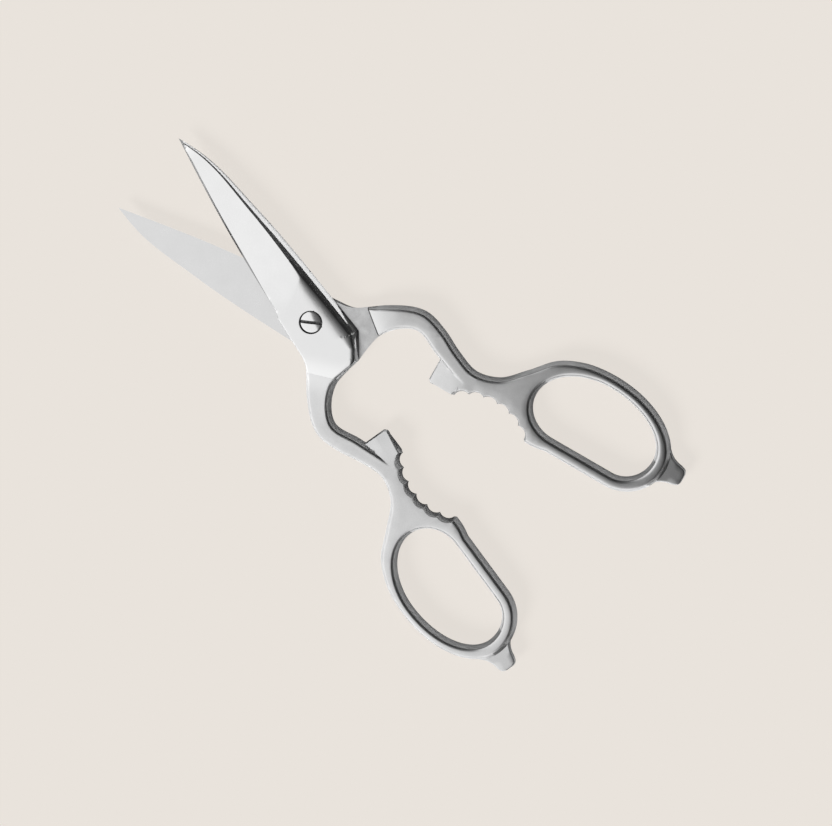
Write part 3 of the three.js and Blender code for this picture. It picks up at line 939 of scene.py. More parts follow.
    def _lines(self) -> Tuple[List[Array], List[Array]]:
        """Gathers the lines that the plan mesh follows.

        Returns:
            The lines with a smooth surface or a wall across them, and those with a crisp crease.
        """
        joint, blade, bore, grip, mesh = self.joint, self.blade, self.bore, self.grip, self.mesh
        smooth, crisp = self._blade_rows()
        step_line = straight(joint.step_inner, joint.step_outer, mesh.step)
        along = step_line[-1] - step_line[0]
        along = along / np.linalg.norm(along)
        brow = step_line - np.array([along[1], -along[0]]) * joint.brow_width
        low, high = np.array([joint.crease_inner, joint.crease_outer])
        crease = straight(2 * low - high, 2 * high - low, mesh.crease)
        runout = oval(blade.runout_centre, (blade.runout_radius,) * 2, *blade.runout_turn, mesh.crease)
        crisp.append(runout[inside(runout, self.body_loop)])
        for cusp in grip.cusps()[1:-1]:
            outward = (cusp - np.array(grip.centre)) / grip.radius
            crisp.append(cusp + outward * np.linspace(0.0, grip.cusp_length, grip.cusp_points)[:, None])
        circles = [oval((0.0, 0.0), (radius,) * 2, 0, 360, math.tau * radius / bore.sides)[:-1]
                   for radius in (bore.running, bore.sink, bore.seat, bore.seat + bore.seat_edge)]
        loops = [np.concatenate([line, line[:1]]) for line in (self.body_loop, self.hole, *circles)]
        firm = [*loops, step_line, brow[inside(brow, self.body_loop)], self.hook_edge, self.tab_edge]
        return [*firm, *self._handle_rows(), *smooth, crease[inside(crease, self.body_loop)]], crisp

    def _mesh_plan(self) -> None:
        """Fills the outline with triangles that follow its edges, creases and holes."""
        firm, crisp = self._lines()
        points: List[Vector] = []
        edges: List[Tuple[int, int]] = []
        for line in (*firm, *crisp):
            base = len(points)
            points.extend(Vector(p) for p in line)
            edges.extend((base + i, base + i + 1) for i in range(len(line) - 1))
        crisp_from = len(edges) - sum(len(line) - 1 for line in crisp)
        points.extend(Vector(p) for p in self._grid([*firm, *crisp]))
        made = delaunay_2d_cdt(points, edges, [], 0, SAME_PLACE)
        plan = np.array([tuple(p) for p in made[0]])
        corners = np.array(made[2])
        centres = plan[corners].mean(axis=1)
        corners = corners[self._solid(centres) & (np.hypot(*centres.T) > self.bore.running - TOUCH)]
        a, b, c = (plan[corners[:, i]] for i in range(3))
        area = (b[:, 0] - a[:, 0]) * (c[:, 1] - a[:, 1]) - (b[:, 1] - a[:, 1]) * (c[:, 0] - a[:, 0])
        corners[area < 0] = corners[area < 0][:, ::-1]
        used = np.unique(corners)
        index = np.full(len(plan), -1)
        index[used] = np.arange(len(used))
        self.plan = plan[used]
        self.corners = index[corners]
        self.crisp: Set[Tuple[int, int]] = set()
        for (start, end), sources in zip(made[1], made[4]):
            if any(source >= crisp_from for source in sources) and min(index[start], index[end]) >= 0:
                self.crisp.add((int(index[start]), int(index[end])))
        log.info("plan: %d points, %d triangles", len(self.plan), len(self.corners))

    def _grid(self, lines: Sequence[Array]) -> Array:
        """Chooses the loose points of the plan mesh, finer at the hook and on the joint plate.

        Args:
            lines: Lines that the points stay away from.

        Returns:
            The points that lie inside the forging.
        """
        mesh = self.mesh
        sizes = (mesh.coarse, mesh.fold, mesh.coarse, mesh.fine, mesh.coarse)
        grids = []
        for size, low, high in zip(sizes, mesh.stations, mesh.stations[1:]):
            rows = np.arange(*mesh.rows, size * mesh.row_pitch)
            grid = np.stack(np.meshgrid(np.arange(low, high, size), rows), axis=-1)
            grid[1::2, :, 0] += size / 2
            grid = grid.reshape(-1, 2)
            grid = grid[self._solid(grid)]
            grids.append(grid[nearest(grid, lines)[0] > size * mesh.grid_clearance])
        return np.concatenate(grids)


# Finishes


def grey(level: float) -> Tuple[float, float, float, float]:
    """Gives an opaque neutral colour."""
    return (level, level, level, 1.0)


@dataclass
class NodeBuilder:
    """Adds nodes to a tree and joins their sockets."""

    tree: NodeTree

    def sockets(self, way: str, kinds: Dict[str, str]) -> None:
        """Adds sockets to the interface of a group.

        Args:
            way: INPUT or OUTPUT.
            kinds: Kind of each socket by its name.
        """
        for name, kind in kinds.items():
            self.tree.interface.new_socket(name, in_out=way, socket_type=f"NodeSocket{kind}")

    def feed(self, node: bpy.types.Node, inputs: Dict[Union[str, int], Feed]) -> None:
        """Sets or joins inputs of a node.

        Args:
            node: The node to feed.
            inputs: A value or a source socket for each input, by its name or place.
        """
        for key, value in inputs.items():
            if isinstance(value, Socket):
                self.tree.links.new(value, node.inputs[key])
            else:
                node.inputs[key].default_value = value

    def add(self, kind: str, inputs: Optional[Dict[Union[str, int], Feed]] = None,
            **settings: object) -> Sequence[Socket]:
        """Adds a node.

        Args:
            kind: Type of the node.
            inputs: A value or a source socket for inputs, by name or place.
            **settings: Properties of the node.

        Returns:
            The node's outputs.
        """
        node = self.tree.nodes.new(kind)
        for name, value in settings.items():
            setattr(node, name, value)
        self.feed(node, inputs or {})
        return node.outputs

    def math(self, operation: str, *values: Feed, clamp: bool = False) -> Socket:
        """Adds a calculation and gives its result."""
        return self.add("ShaderNodeMath", dict(enumerate(values)), operation=operation, use_clamp=clamp)[0]

    def vector(self, **parts: Feed) -> Socket:
        """Joins X, Y and Z into a vector."""
        return self.add("ShaderNodeCombineXYZ", parts)[0]

    def ramp(self, value: Socket, reach: Point, levels: Point = (0.0, 1.0),
             curve: str = "SMOOTHSTEP") -> Socket:
        """Maps a value from one range to another.

        Args:
            value: The value to map.
            reach: Range that it comes from.
            levels: Range that it goes to.
            curve: Kind of interpolation between them.

        Returns:
            The mapped value.
        """
        names = ("Value", "From Min", "From Max", "To Min", "To Max")
        inputs = dict(zip(names, (value, *reach, *levels)))
        return self.add("ShaderNodeMapRange", inputs, interpolation_type=curve)[0]

    def mix(self, share: Feed, low: Feed, high: Feed) -> Socket:
        """Mixes two colours."""
        return self.add("ShaderNodeMix", {"Factor": share, 6: low, 7: high}, data_type="RGBA")[2]

    def mix_shader(self, share: Feed, low: Socket, high: Socket) -> Socket:
        """Mixes two shaders."""
        return self.add("ShaderNodeMixShader", {"Fac": share, 1: low, 2: high})[0]


def steel_surface_group() -> NodeTree:
    """Builds the shader group that gives every steel finish its grain, lines and blotches.

    Returns:
        A group with a colour, a roughness and a height that change over the surface.
    """
    tree = bpy.data.node_groups.new("steel_surface", "ShaderNodeTree")
    build = NodeBuilder(tree)
    numbers = ("Grain Size", "Line Size", "Line Share", "Blotch Size", "Tone Spread", "Roughness",
               "Roughness Spread")
    build.sockets("INPUT", {"Place": "Vector", "Stretch": "Vector", "Light": "Color", "Dark": "Color",
                            **{name: "Float" for name in numbers}})
    build.sockets("OUTPUT", {"Color": "Color", "Roughness": "Float", "Height": "Float"})
    given = build.add("NodeGroupInput")
    place = given["Place"]
    lengthened = build.add("ShaderNodeVectorMath", {0: place, 1: given["Stretch"]}, operation="MULTIPLY")[0]
    grain, lines, blotch = (
        build.add("ShaderNodeTexNoise", {"Vector": source, "Scale": given[size], "Detail": detail})["Fac"]
        for size, source, detail in (("Grain Size", place, 3.0), ("Line Size", lengthened, 4.0),
                                     ("Blotch Size", place, 5.0))
    )
    texture = build.add("ShaderNodeMix", {"Factor": given["Line Share"], "A": grain, "B": lines})["Result"]
    both = build.math("ADD", build.math("SUBTRACT", texture, 0.5), build.math("SUBTRACT", blotch, 0.5))
    tone = build.math("MULTIPLY_ADD", both, given["Tone Spread"], 0.5)
    rough = build.math("MULTIPLY_ADD", both, given["Roughness Spread"], given["Roughness"], clamp=True)
    colour = build.mix(tone, given["Dark"], given["Light"])
    build.add("NodeGroupOutput", {"Color": colour, "Roughness": rough, "Height": texture})
    return tree


@dataclass(frozen=True)
class PaintedSheenFade:
    """Painted highlight: a gradual change to a lighter colour along a direction in the plan, which lays a
    bright band along the crease and softens the change between two finishes.
    """

    direction: Triple
    start: float
    end: float
    tone: float

    def colour(self, build: NodeBuilder, place: Socket, finish_colour: Socket) -> Socket:
        """Mixes the painted highlight over the finish's own colour.

        Args:
            build: Builder of the material's nodes.
            place: Place on the forging.
            finish_colour: Colour away from the painted highlight.

        Returns:
            The mixed colour.
        """
        along = build.add("ShaderNodeVectorMath", {0: place, 1: self.direction}, operation="DOT_PRODUCT")
        share = build.ramp(along["Value"], (self.start, self.end))
        return build.mix(share, finish_colour, grey(self.tone))


@dataclass(frozen=True)
class SteelFinish:
    """One way in which the steel is finished. Sizes are for a place in millimetres."""

    name: str
    light: float = 0.84
    dark: float = 0.74
    roughness: float = 0.25
    roughness_spread: float = 0.06
    grain_size: float = 3.2
    line_size: float = 5.0
    line_share: float = 0.4
    blotch_size: float = 0.14
    tone_spread: float = 1.0
    stretch: Triple = (1.0, 1.0, 1.0)
    bump: float = 0.02
    bump_distance: float = 0.00002
    fade: Optional[PaintedSheenFade] = None

    def material(self, group: NodeTree) -> Material:
        """Builds the finish as a material.

        Args:
            group: The shared steel surface group.

        Returns:
            A material that reads the forging's own place from its attribute.
        """
        made = bpy.data.materials.new(self.name)
        made.use_nodes = True
        build = NodeBuilder(made.node_tree)
        place = build.add("ShaderNodeAttribute", attribute_name=PLACE_ATTRIBUTE)["Vector"]
        surface = build.add("ShaderNodeGroup", node_tree=group, inputs={
            "Place": place, "Stretch": self.stretch, "Light": grey(self.light), "Dark": grey(self.dark),
            "Grain Size": self.grain_size, "Line Size": self.line_size, "Line Share": self.line_share,
            "Blotch Size": self.blotch_size, "Tone Spread": self.tone_spread,
            "Roughness": self.roughness, "Roughness Spread": self.roughness_spread,
        })
        colour = surface["Color"]
        # Painted highlight near the crease, for the finishes that have one.
        if self.fade:
            colour = self.fade.colour(build, place, colour)
        bump = build.add("ShaderNodeBump", {"Strength": self.bump, "Distance": self.bump_distance,
                                            "Height": surface["Height"]})[0]
        build.feed(made.node_tree.nodes["Principled BSDF"], {
            "Metallic": 1.0, "Base Color": colour, "Roughness": surface["Roughness"], "Normal": bump})
        return made


FINISHES: Dict[Zone, SteelFinish] = {
    # Handle and joint carry a painted highlight: their colour grows lighter towards the crease from both
    # sides.
    Zone.HANDLE: SteelFinish("satin_handle_and_sheen", light=0.81, dark=0.69, roughness=0.32, tone_spread=1.8,
                             fade=PaintedSheenFade((0.662, -0.75, 0.0), -27.0, -17.7, 0.92)),
    # Painted shade: a dark colour for walls that face away from the bright side and mirror the shaded floor.
    Zone.SHADED_FLANK: SteelFinish("flank_painted_shade", light=0.37, dark=0.27, roughness=0.38, tone_spread=1.6),
    Zone.JOINT: SteelFinish("polished_joint_and_sheen", light=0.87, dark=0.8, roughness=0.16,
                            fade=PaintedSheenFade((-0.662, 0.75, 0.0), 10.0, 17.7, 0.96)),
    Zone.BLADE: SteelFinish("ground_blade", light=0.9, dark=0.82, roughness=0.2, line_share=0.8,
                            stretch=(1.0, 0.12, 1.0)),
    Zone.LAP: SteelFinish("lapped_blade", light=0.83, dark=0.73, roughness=0.26, line_share=0.8,
                          stretch=(1.0, 0.1, 1.0)),
    Zone.BEARING: SteelFinish("rubbed_bearing", light=0.88, dark=0.62, roughness=0.4, tone_spread=2.2,
                              blotch_size=0.3),
    # Painted shade: the cutting bevel is coloured dark for the dark surroundings it reflects.
    Zone.EDGE: SteelFinish("bevel_painted_shade", light=0.42, dark=0.3, roughness=0.34),
    # Painted shade: a near-black colour for the shade in bores, counterbore, step and groove.
    Zone.SHADED_RECESS: SteelFinish("recess_painted_shade", light=0.26, dark=0.14, roughness=0.5),
}
SCREW_FINISH = SteelFinish("turned_screw", light=0.9, dark=0.82, roughness=0.14)
# Painted shade: the driver slot is coloured near black for the shade inside it.
SLOT_SHADE_FINISH = SteelFinish("slot_painted_shade", light=0.34, dark=0.02, roughness=0.45, tone_spread=3.0, grain_size=1.6)


# The pieces


def add_to_scene(name: str, data: bpy.types.ID) -> Object:
    """Makes an object and puts it in the scene.

    Args:
        name: Name of the object.
        data: Its mesh, light or camera.

    Returns:
        The object at the origin.
    """
    made = bpy.data.objects.new(name, data)
    bpy.context.scene.collection.objects.link(made)
    return made


class Side(Enum):
    """Which of the two halves a forging becomes."""

    FRONT = "front"
    REAR = "rear"


@dataclass
class ScissorHalf:
    """One forged half: blade, joint plate, arm, hook, lid grip, bow and tab in a single piece."""

    side: Side
    plan: ForgingPlan
    open_angle: float = 24.3
    lap_gap: float = 0.3
    bearing_reach: float = 2.0
    # flank_limit and bright_side pick the steep faces, turned away from the bright side, that get painted
    # shade.
    flank_limit: float = 0.8
    bright_side: float = 0.3
    crisp_angle: float = 30.0

    @property
    def node(self) -> str:
        """Name of the half's solid in the frame."""
        return f"{self.side.value}_half"

    def _bored(self, radius: Array, height: Array) -> Array:
        """Sinks the screw's seat into an outer face.

        Args:
            radius: Distance of each place from the pivot.
            height: Height of the face there.

        Returns:
            Heights with the counterbore of the front half, or with the sink of the rear half.
        """
        bore, thickness = self.plan.bore, self.plan.joint.thickness
        if self.side is Side.FRONT:
            edge = thickness - bore.seat_edge + (radius - bore.seat)
            lip = np.where(radius < bore.seat + bore.seat_edge + TOUCH, np.minimum(height, edge), height)
            return np.where(radius < bore.seat - TOUCH, bore.seat_height, lip)
        sunk = thickness - (bore.sink - radius) * bore.sink_slope
        return np.where(radius < bore.sink + TOUCH, np.minimum(height, sunk), height)

    def _outer_zones(self, centres: Array, in_seat: Array) -> Array:
        """Chooses the finishes of the outer face.

        Args:
            centres: Middles of the faces in the plan.
            in_seat: Tells which of them lie in the counterbore.

        Returns:
            The zone's number for each face.
        """
        plan, blade = self.plan, self.plan.blade
        near_plate = centres[:, 0] < blade.plate_reach[1]
        on_plate = near_plate & (away(centres, blade.runout_centre) > blade.runout_radius)
        on_handle = plan.crease_side(centres) < 0.0
        zones = np.where(on_plate, Zone.JOINT.value, Zone.BLADE.value)
        # Painted shade along the plate end and the inner edge of the joint.
        zones[nearest(centres, [plan.plate_end, plan.inner])[0] < plan.joint.shaded_rim] = Zone.SHADED_FLANK.value
        # Painted shade on the cutting bevel.
        zones[nearest(centres, [plan.edge])[0] < blade.bevel_width] = Zone.EDGE.value
        zones[on_handle] = Zone.HANDLE.value
        # Painted shade on the scallops' lower walls.
        zones[on_handle & plan.grip.on_shaded_wall(centres)] = Zone.SHADED_FLANK.value
        # Painted shade in the counterbore.
        zones[in_seat] = Zone.SHADED_RECESS.value
        return zones

    def _lap_zones(self, centres: Array, on_handle: Array) -> Array:
        """Chooses the finishes of the lap side.

        Args:
            centres: Middles of the faces in the plan.
            on_handle: Tells which of them lie on the handle's side of the step.

        Returns:
            The zone's number for each face.
        """
        plan = self.plan
        zones = np.where(centres[:, 0] < self.bearing_reach, Zone.BEARING.value, Zone.LAP.value)
        zones[on_handle] = Zone.HANDLE.value
        # Painted shade on the scallops' lower walls.
        zones[on_handle & plan.grip.on_shaded_wall(centres)] = Zone.SHADED_FLANK.value
        # Painted shade in the groove along the step.
        zones[on_handle & (plan.step_side(centres) > -plan.joint.brow_width)] = Zone.SHADED_RECESS.value
        return zones

    def build(self) -> Object:
        """Makes the half's closed mesh in the frame of the pair.

        Returns:
            The half as an object at the origin.
        """
        plan, bore, front = self.plan, self.plan.bore, self.side is Side.FRONT
        points, corners = plan.plan, plan.corners
        count = len(points)
        own = np.arange(count)
        radius = away(points, (0.0, 0.0))
        sides = np.sort(np.concatenate([corners[:, [0, 1]], corners[:, [1, 2]], corners[:, [2, 0]]]), axis=1)
        unique, times = np.unique(sides, axis=0, return_counts=True)
        rim = np.isin(own, unique[times == 1])
        in_bore = rim & (radius < bore.running + bore.rim_reach)
        rim &= ~in_bore
        on_seat = np.abs(radius - bore.seat) < TOUCH
        past_step = plan.step_side(points)
        step = (np.abs(past_step) < TOUCH) & (points[:, 0] < plan.joint.step_limit)
        on_step = step & ~rim
        # Rows of vertices: outer face, lap face, handle's lap side, floor of the counterbore
        high = np.where(rim, 0.0, self._bored(radius, plan.outer_height(points)))
        deep = plan.lap_depth(points)
        low = np.where((past_step < 0) & ~on_step, -deep, 0.0)
        heights = np.concatenate([high, low, -deep, np.full(count, bore.seat_height)])
        lap_index = np.where(rim, own, own + count)
        handle_index = np.where(on_step, own + 2 * count, lap_index)
        floor_index = np.where(on_seat, own + 3 * count, own)
        centres = points[corners].mean(axis=1)
        on_handle = plan.step_side(centres) < 0
        in_seat = front & (away(centres, (0.0, 0.0)) < bore.seat)
        upper = np.where(in_seat[:, None], floor_index[corners], corners)
        lower = np.where(on_handle[:, None], handle_index[corners], lap_index[corners])[:, ::-1]
        faces = [tuple(face) for face in np.concatenate([upper, lower]).tolist()]
        zones = np.concatenate([self._outer_zones(centres, in_seat), self._lap_zones(centres, on_handle)])
        step_chain = sorted(own[step].tolist(), key=lambda i: points[i, 1])
        for a, b in zip(step_chain, step_chain[1:]):
            ring = (lap_index[a], lap_index[b], handle_index[b], handle_index[a])
            faces.append(tuple(dict.fromkeys(map(int, ring))))
        faces += self._ring_wall(points, in_bore, lap_index)
        if front:
            faces += self._ring_wall(points, on_seat, floor_index)
        # Painted shade on the step's wall and the walls of the holes.
        walls = np.full(len(faces) - len(zones), Zone.SHADED_RECESS.value)
        xyz = np.concatenate([np.tile(points, (4, 1)), heights[:, None]], axis=1)
        return self._object(xyz, faces, np.concatenate([zones, walls]))

    @staticmethod
    def _ring_wall(points: Array, ring: Array, low: Array) -> List[Tuple[int, ...]]:
        """Makes the wall of a round hole up to the outer face, facing its axis.

        Args:
            points: Plan points.
            ring: Tells which of them lie round the hole.
            low: Vertex of the wall's lower edge for each plan point.

        Returns:
            The faces of the wall.
        """
        order = sorted(np.where(ring)[0].tolist(), key=lambda i: math.atan2(points[i, 1], points[i, 0]))
        return [(int(low[b]), int(low[a]), a, b) for a, b in zip(order, order[1:] + order[:1])]

    def _placement(self) -> Array:
        """Works out where the closed half goes in the pair.

        Returns:
            The matrix that takes it there, in millimetres.
        """
        turn = math.radians(self.open_angle / 2)
        thickness = self.plan.joint.thickness
        if self.side is Side.FRONT:
            lift = Matrix.Translation((0, 0, thickness + self.lap_gap))
            return np.array(lift @ Matrix.Rotation(-turn, 4, "Z"))
        over = Matrix.Rotation(turn, 4, "Z") @ Matrix.Rotation(math.pi, 4, "X")
        return np.array(Matrix.Translation((0, 0, thickness)) @ over)

    def _object(self, xyz: Array, faces: List[Tuple[int, ...]], zones: Array) -> Object:
        """Turns vertices and faces into an object in the frame of the pair.

        Args:
            xyz: Vertices of the closed half in millimetres.
            faces: Vertex indices of each face.
            zones: Number of the finish zone of each face.

        Returns:
            The half as an object at the origin.
        """
        used = np.unique(np.concatenate([np.array(f) for f in faces]))
        index = np.full(len(xyz), -1)
        index[used] = np.arange(len(used))
        own = xyz[used]
        place = self._placement()
        placed = (own @ place[:3, :3].T + place[:3, 3]) * MM
        name = f"{self.side.value}_forging"
        mesh = bpy.data.meshes.new(name)
        mesh.from_pydata(placed.tolist(), [], [[int(index[i]) for i in f] for f in faces])
        normals = np.zeros(len(faces) * 3)
        mesh.polygons.foreach_get("normal", normals)
        # Painted shade: steep handle faces turned away from the bright side get the dark flank colour.
        level = np.sqrt(np.maximum(1.0 - normals[2::3] ** 2, TINY))
        steep = (np.abs(normals[2::3]) < self.flank_limit) & (normals[1::3] < self.bright_side * level)
        zones = np.where((zones == Zone.HANDLE.value) & steep, Zone.SHADED_FLANK.value, zones)
        mesh.polygons.foreach_set("material_index", zones.tolist())
        mesh.polygons.foreach_set("use_smooth", [True] * len(faces))
        attribute = mesh.attributes.new(PLACE_ATTRIBUTE, "FLOAT_VECTOR", "POINT")
        attribute.data.foreach_set("vector", own.astype(np.float32).ravel())
        mesh.set_sharp_from_angle(angle=math.radians(self.crisp_angle))
        named = {tuple(sorted((int(index[a]), int(index[b])))) for a, b in self.plan.crisp}
        sharp = mesh.attributes.get("sharp_edge") or mesh.attributes.new("sharp_edge", "BOOLEAN", "EDGE")
        for edge in mesh.edges:
            if tuple(sorted(edge.vertices)) in named:
                sharp.data[edge.index].value = True
        return add_to_scene(name, mesh)

    def dress(self, made: Object, finishes: Dict[Zone, Material]) -> None:
        """Gives the half its finishes and ties it to its body.

        Args:
            made: The half's object.
            finishes: A material for each zone.
        """
        for zone in Zone:
            made.data.materials.append(finishes[zone])
        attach(made, self.side.value)
        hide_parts(self.node)


@dataclass
class PivotScrew:
    """Slotted screw on the pivot axis. Sizes are in millimetres."""

    tail_radius: float = 3.3
    tail_height: float = 0.9
    tail_edge: Points = ((0.25, 0.0), (0.06, 0.05), (0.0, 0.2))
    shank_radius: float = 2.5
    head_radius: float = 3.8
    under_head: float = 7.4
    under_edge: float = 0.1
    rim: float = 8.8
    top: float = 9.3
    rim_round: float = 0.2
    rim_edge: Point = (0.04, 0.1)
    slot_width: float = 1.1
    slot_depth: float = 1.5
    slot_angle: float = 36.7
    slot_slack: float = 0.01
    upright: float = 0.1
    sides: int = 96
    dome_steps: int = 10
    crisp_angle: float = 32.0

    def profile(self) -> List[Point]:
        """Draws the turned profile.

        Returns:
            Radius and height of its points, from the tail's middle to the head's.
        """
        brow = self.head_radius - self.rim_round
        rise = self.top - self.rim
        ball = (brow**2 + rise**2) / (2 * rise)
        lean = math.asin(brow / ball)
        dome = [lean * (1 - i / self.dome_steps) for i in range(self.dome_steps)]
        return [
            (0.0, 0.0), *((self.tail_radius - inward, up) for inward, up in self.tail_edge),
            (self.shank_radius, self.tail_height), (self.shank_radius, self.under_head),
            (self.head_radius - self.under_edge, self.under_head),
            (self.head_radius, self.under_head + self.under_edge),
            (self.head_radius, self.rim - self.rim_round),
            (self.head_radius - self.rim_edge[0], self.rim - self.rim_edge[1]),
            *((ball * math.sin(t), self.top - ball * (1 - math.cos(t))) for t in dome),
            (0.0, self.top),
        ]

    def _tree(self, material: Material) -> NodeTree:
        """Builds the node tree that turns a profile round the axis and cuts the driver slot.

        Args:
            material: Finish of the screw.

        Returns:
            The geometry node tree.
        """
        tree = bpy.data.node_groups.new("turned_screw", "GeometryNodeTree")
        build = NodeBuilder(tree)
        lengths = ("Slot Width", "Slot Depth", "Slot Length", "Slot Angle", "Top")
        build.sockets("INPUT", {"Profile": "Geometry", "Points": "Int", "Sides": "Int",
                                **{name: "Float" for name in lengths}})
        build.sockets("OUTPUT", {"Screw": "Geometry"})
        given = build.add("NodeGroupInput")
        around = build.math("ADD", given["Sides"], 1.0)
        grid = build.add("GeometryNodeMeshGrid", {"Vertices X": given["Points"], "Vertices Y": around})
        index = build.add("GeometryNodeInputIndex")[0]
        row = build.math("FLOOR", build.math("DIVIDE", build.math("ADD", index, 0.5), around))
        column = build.math("SUBTRACT", index, build.math("MULTIPLY", row, around))
        angle = build.math("MULTIPLY", build.math("DIVIDE", column, given["Sides"]), math.tau)
        position = build.add("GeometryNodeInputPosition")[0]
        sample = build.add("GeometryNodeSampleIndex", data_type="FLOAT_VECTOR", inputs={
            "Geometry": given["Profile"], "Value": position, "Index": row})
        split = build.add("ShaderNodeSeparateXYZ", {0: sample["Value"]})
        x, y = (build.math("MULTIPLY", split["X"], build.math(kind, angle)) for kind in ("COSINE", "SINE"))
        turned = build.add("GeometryNodeSetPosition", {
            "Geometry": grid["Mesh"], "Position": build.vector(X=x, Y=y, Z=split["Z"])})
        welded = build.add("GeometryNodeMergeByDistance", {"Geometry": turned[0], "Distance": WELD})
        depth = build.math("MULTIPLY", given["Slot Depth"], 2.0)
        size = build.vector(X=given["Slot Length"], Y=given["Slot Width"], Z=depth)
        cutter = build.add("GeometryNodeTransform", {
            "Geometry": build.add("GeometryNodeMeshCube", {"Size": size})["Mesh"],
            "Translation": build.vector(Z=given["Top"]), "Rotation": build.vector(Z=given["Slot Angle"])})
        cut = build.add("GeometryNodeMeshBoolean", {"Mesh 1": welded[0], "Mesh 2": cutter[0]},
                        operation="DIFFERENCE", solver="EXACT")
        real = build.add("GeometryNodeRealizeInstances", {0: cut["Mesh"]})
        dressed = build.add("GeometryNodeSetMaterial", {"Geometry": real[0], "Material": material})
        build.add("NodeGroupOutput", {"Screw": dressed[0]})
        return tree

    def _slot_faces(self, mesh: Mesh) -> List[bool]:
        """Tells which faces belong to the driver slot.

        Args:
            mesh: The turned screw.

        Returns:
            One truth value for each face.
        """
        turn = math.radians(self.slot_angle)
        across = Vector((-math.sin(turn), math.cos(turn), 0.0))
        limit = (self.slot_width / 2 + self.slot_slack) * MM
        floor = (self.top - self.slot_depth - self.slot_slack) * MM
        crown = (self.top - self.slot_depth + 2 * self.slot_slack) * MM
        found = []
        for face in mesh.polygons:
            in_slot = abs(face.center.dot(across)) < limit and face.center.z > floor
            found.append(in_slot and (face.center.z < crown or abs(face.normal.z) < self.upright))
        return found

    def build(self, material: Material, slot_shade: Material) -> Object:
        """Makes the screw as a plain mesh.

        Args:
            material: Finish of the screw.
            slot_shade: Near-black material painted on its driver slot as shade.

        Returns:
            The screw as an object at the origin.
        """
        profile = self.profile()
        mesh = bpy.data.meshes.new("screw_profile")
        mesh.from_pydata([(r * MM, 0.0, z * MM) for r, z in profile],
                         [(i, i + 1) for i in range(len(profile) - 1)], [])
        source = add_to_scene("screw_profile", mesh)
        tree = self._tree(material)
        values = {
            "Points": len(profile), "Sides": self.sides, "Slot Width": self.slot_width * MM,
            "Slot Depth": self.slot_depth * MM, "Slot Length": 3 * self.head_radius * MM,
            "Slot Angle": math.radians(self.slot_angle), "Top": self.top * MM,
        }
        modifier = source.modifiers.new("turned_screw", "NODES")
        modifier.node_group = tree
        for item in tree.interface.items_tree:
            if item.name in values:
                modifier[item.identifier] = values[item.name]
        evaluated = source.evaluated_get(bpy.context.evaluated_depsgraph_get())
        turned = bpy.data.meshes.new_from_object(evaluated)
        bpy.data.objects.remove(source)
        turned.name = "pivot_screw_turned"
        shape = bmesh.new()
        shape.from_mesh(turned)
        bmesh.ops.remove_doubles(shape, verts=shape.verts, dist=WELD / 10)
        bmesh.ops.recalc_face_normals(shape, faces=shape.faces)
        shape.to_mesh(turned)
        shape.free()
        turned.polygons.foreach_set("use_smooth", [True] * len(turned.polygons))
        turned.set_sharp_from_angle(angle=math.radians(self.crisp_angle))
        turned.materials.clear()
        for finish in (material, slot_shade):
            turned.materials.append(finish)
        # Painted shade: the slot's faces get the near-black material.
        turned.polygons.foreach_set("material_index", [int(in_slot) for in_slot in self._slot_faces(turned)])
        own = np.zeros(len(turned.vertices) * 3, np.float32)
        turned.vertices.foreach_get("co", own)
        attribute = turned.attributes.new(PLACE_ATTRIBUTE, "FLOAT_VECTOR", "POINT")
        attribute.data.foreach_set("vector", own / MM)
        return add_to_scene("pivot_screw_turned", turned)

    def dress(self, made: Object) -> None:
        """Ties the screw to the rear half that it is fixed in.

        Args:
            made: The screw's object.
        """
        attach(made, "rear")
        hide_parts("pivot_screw")


# The studio


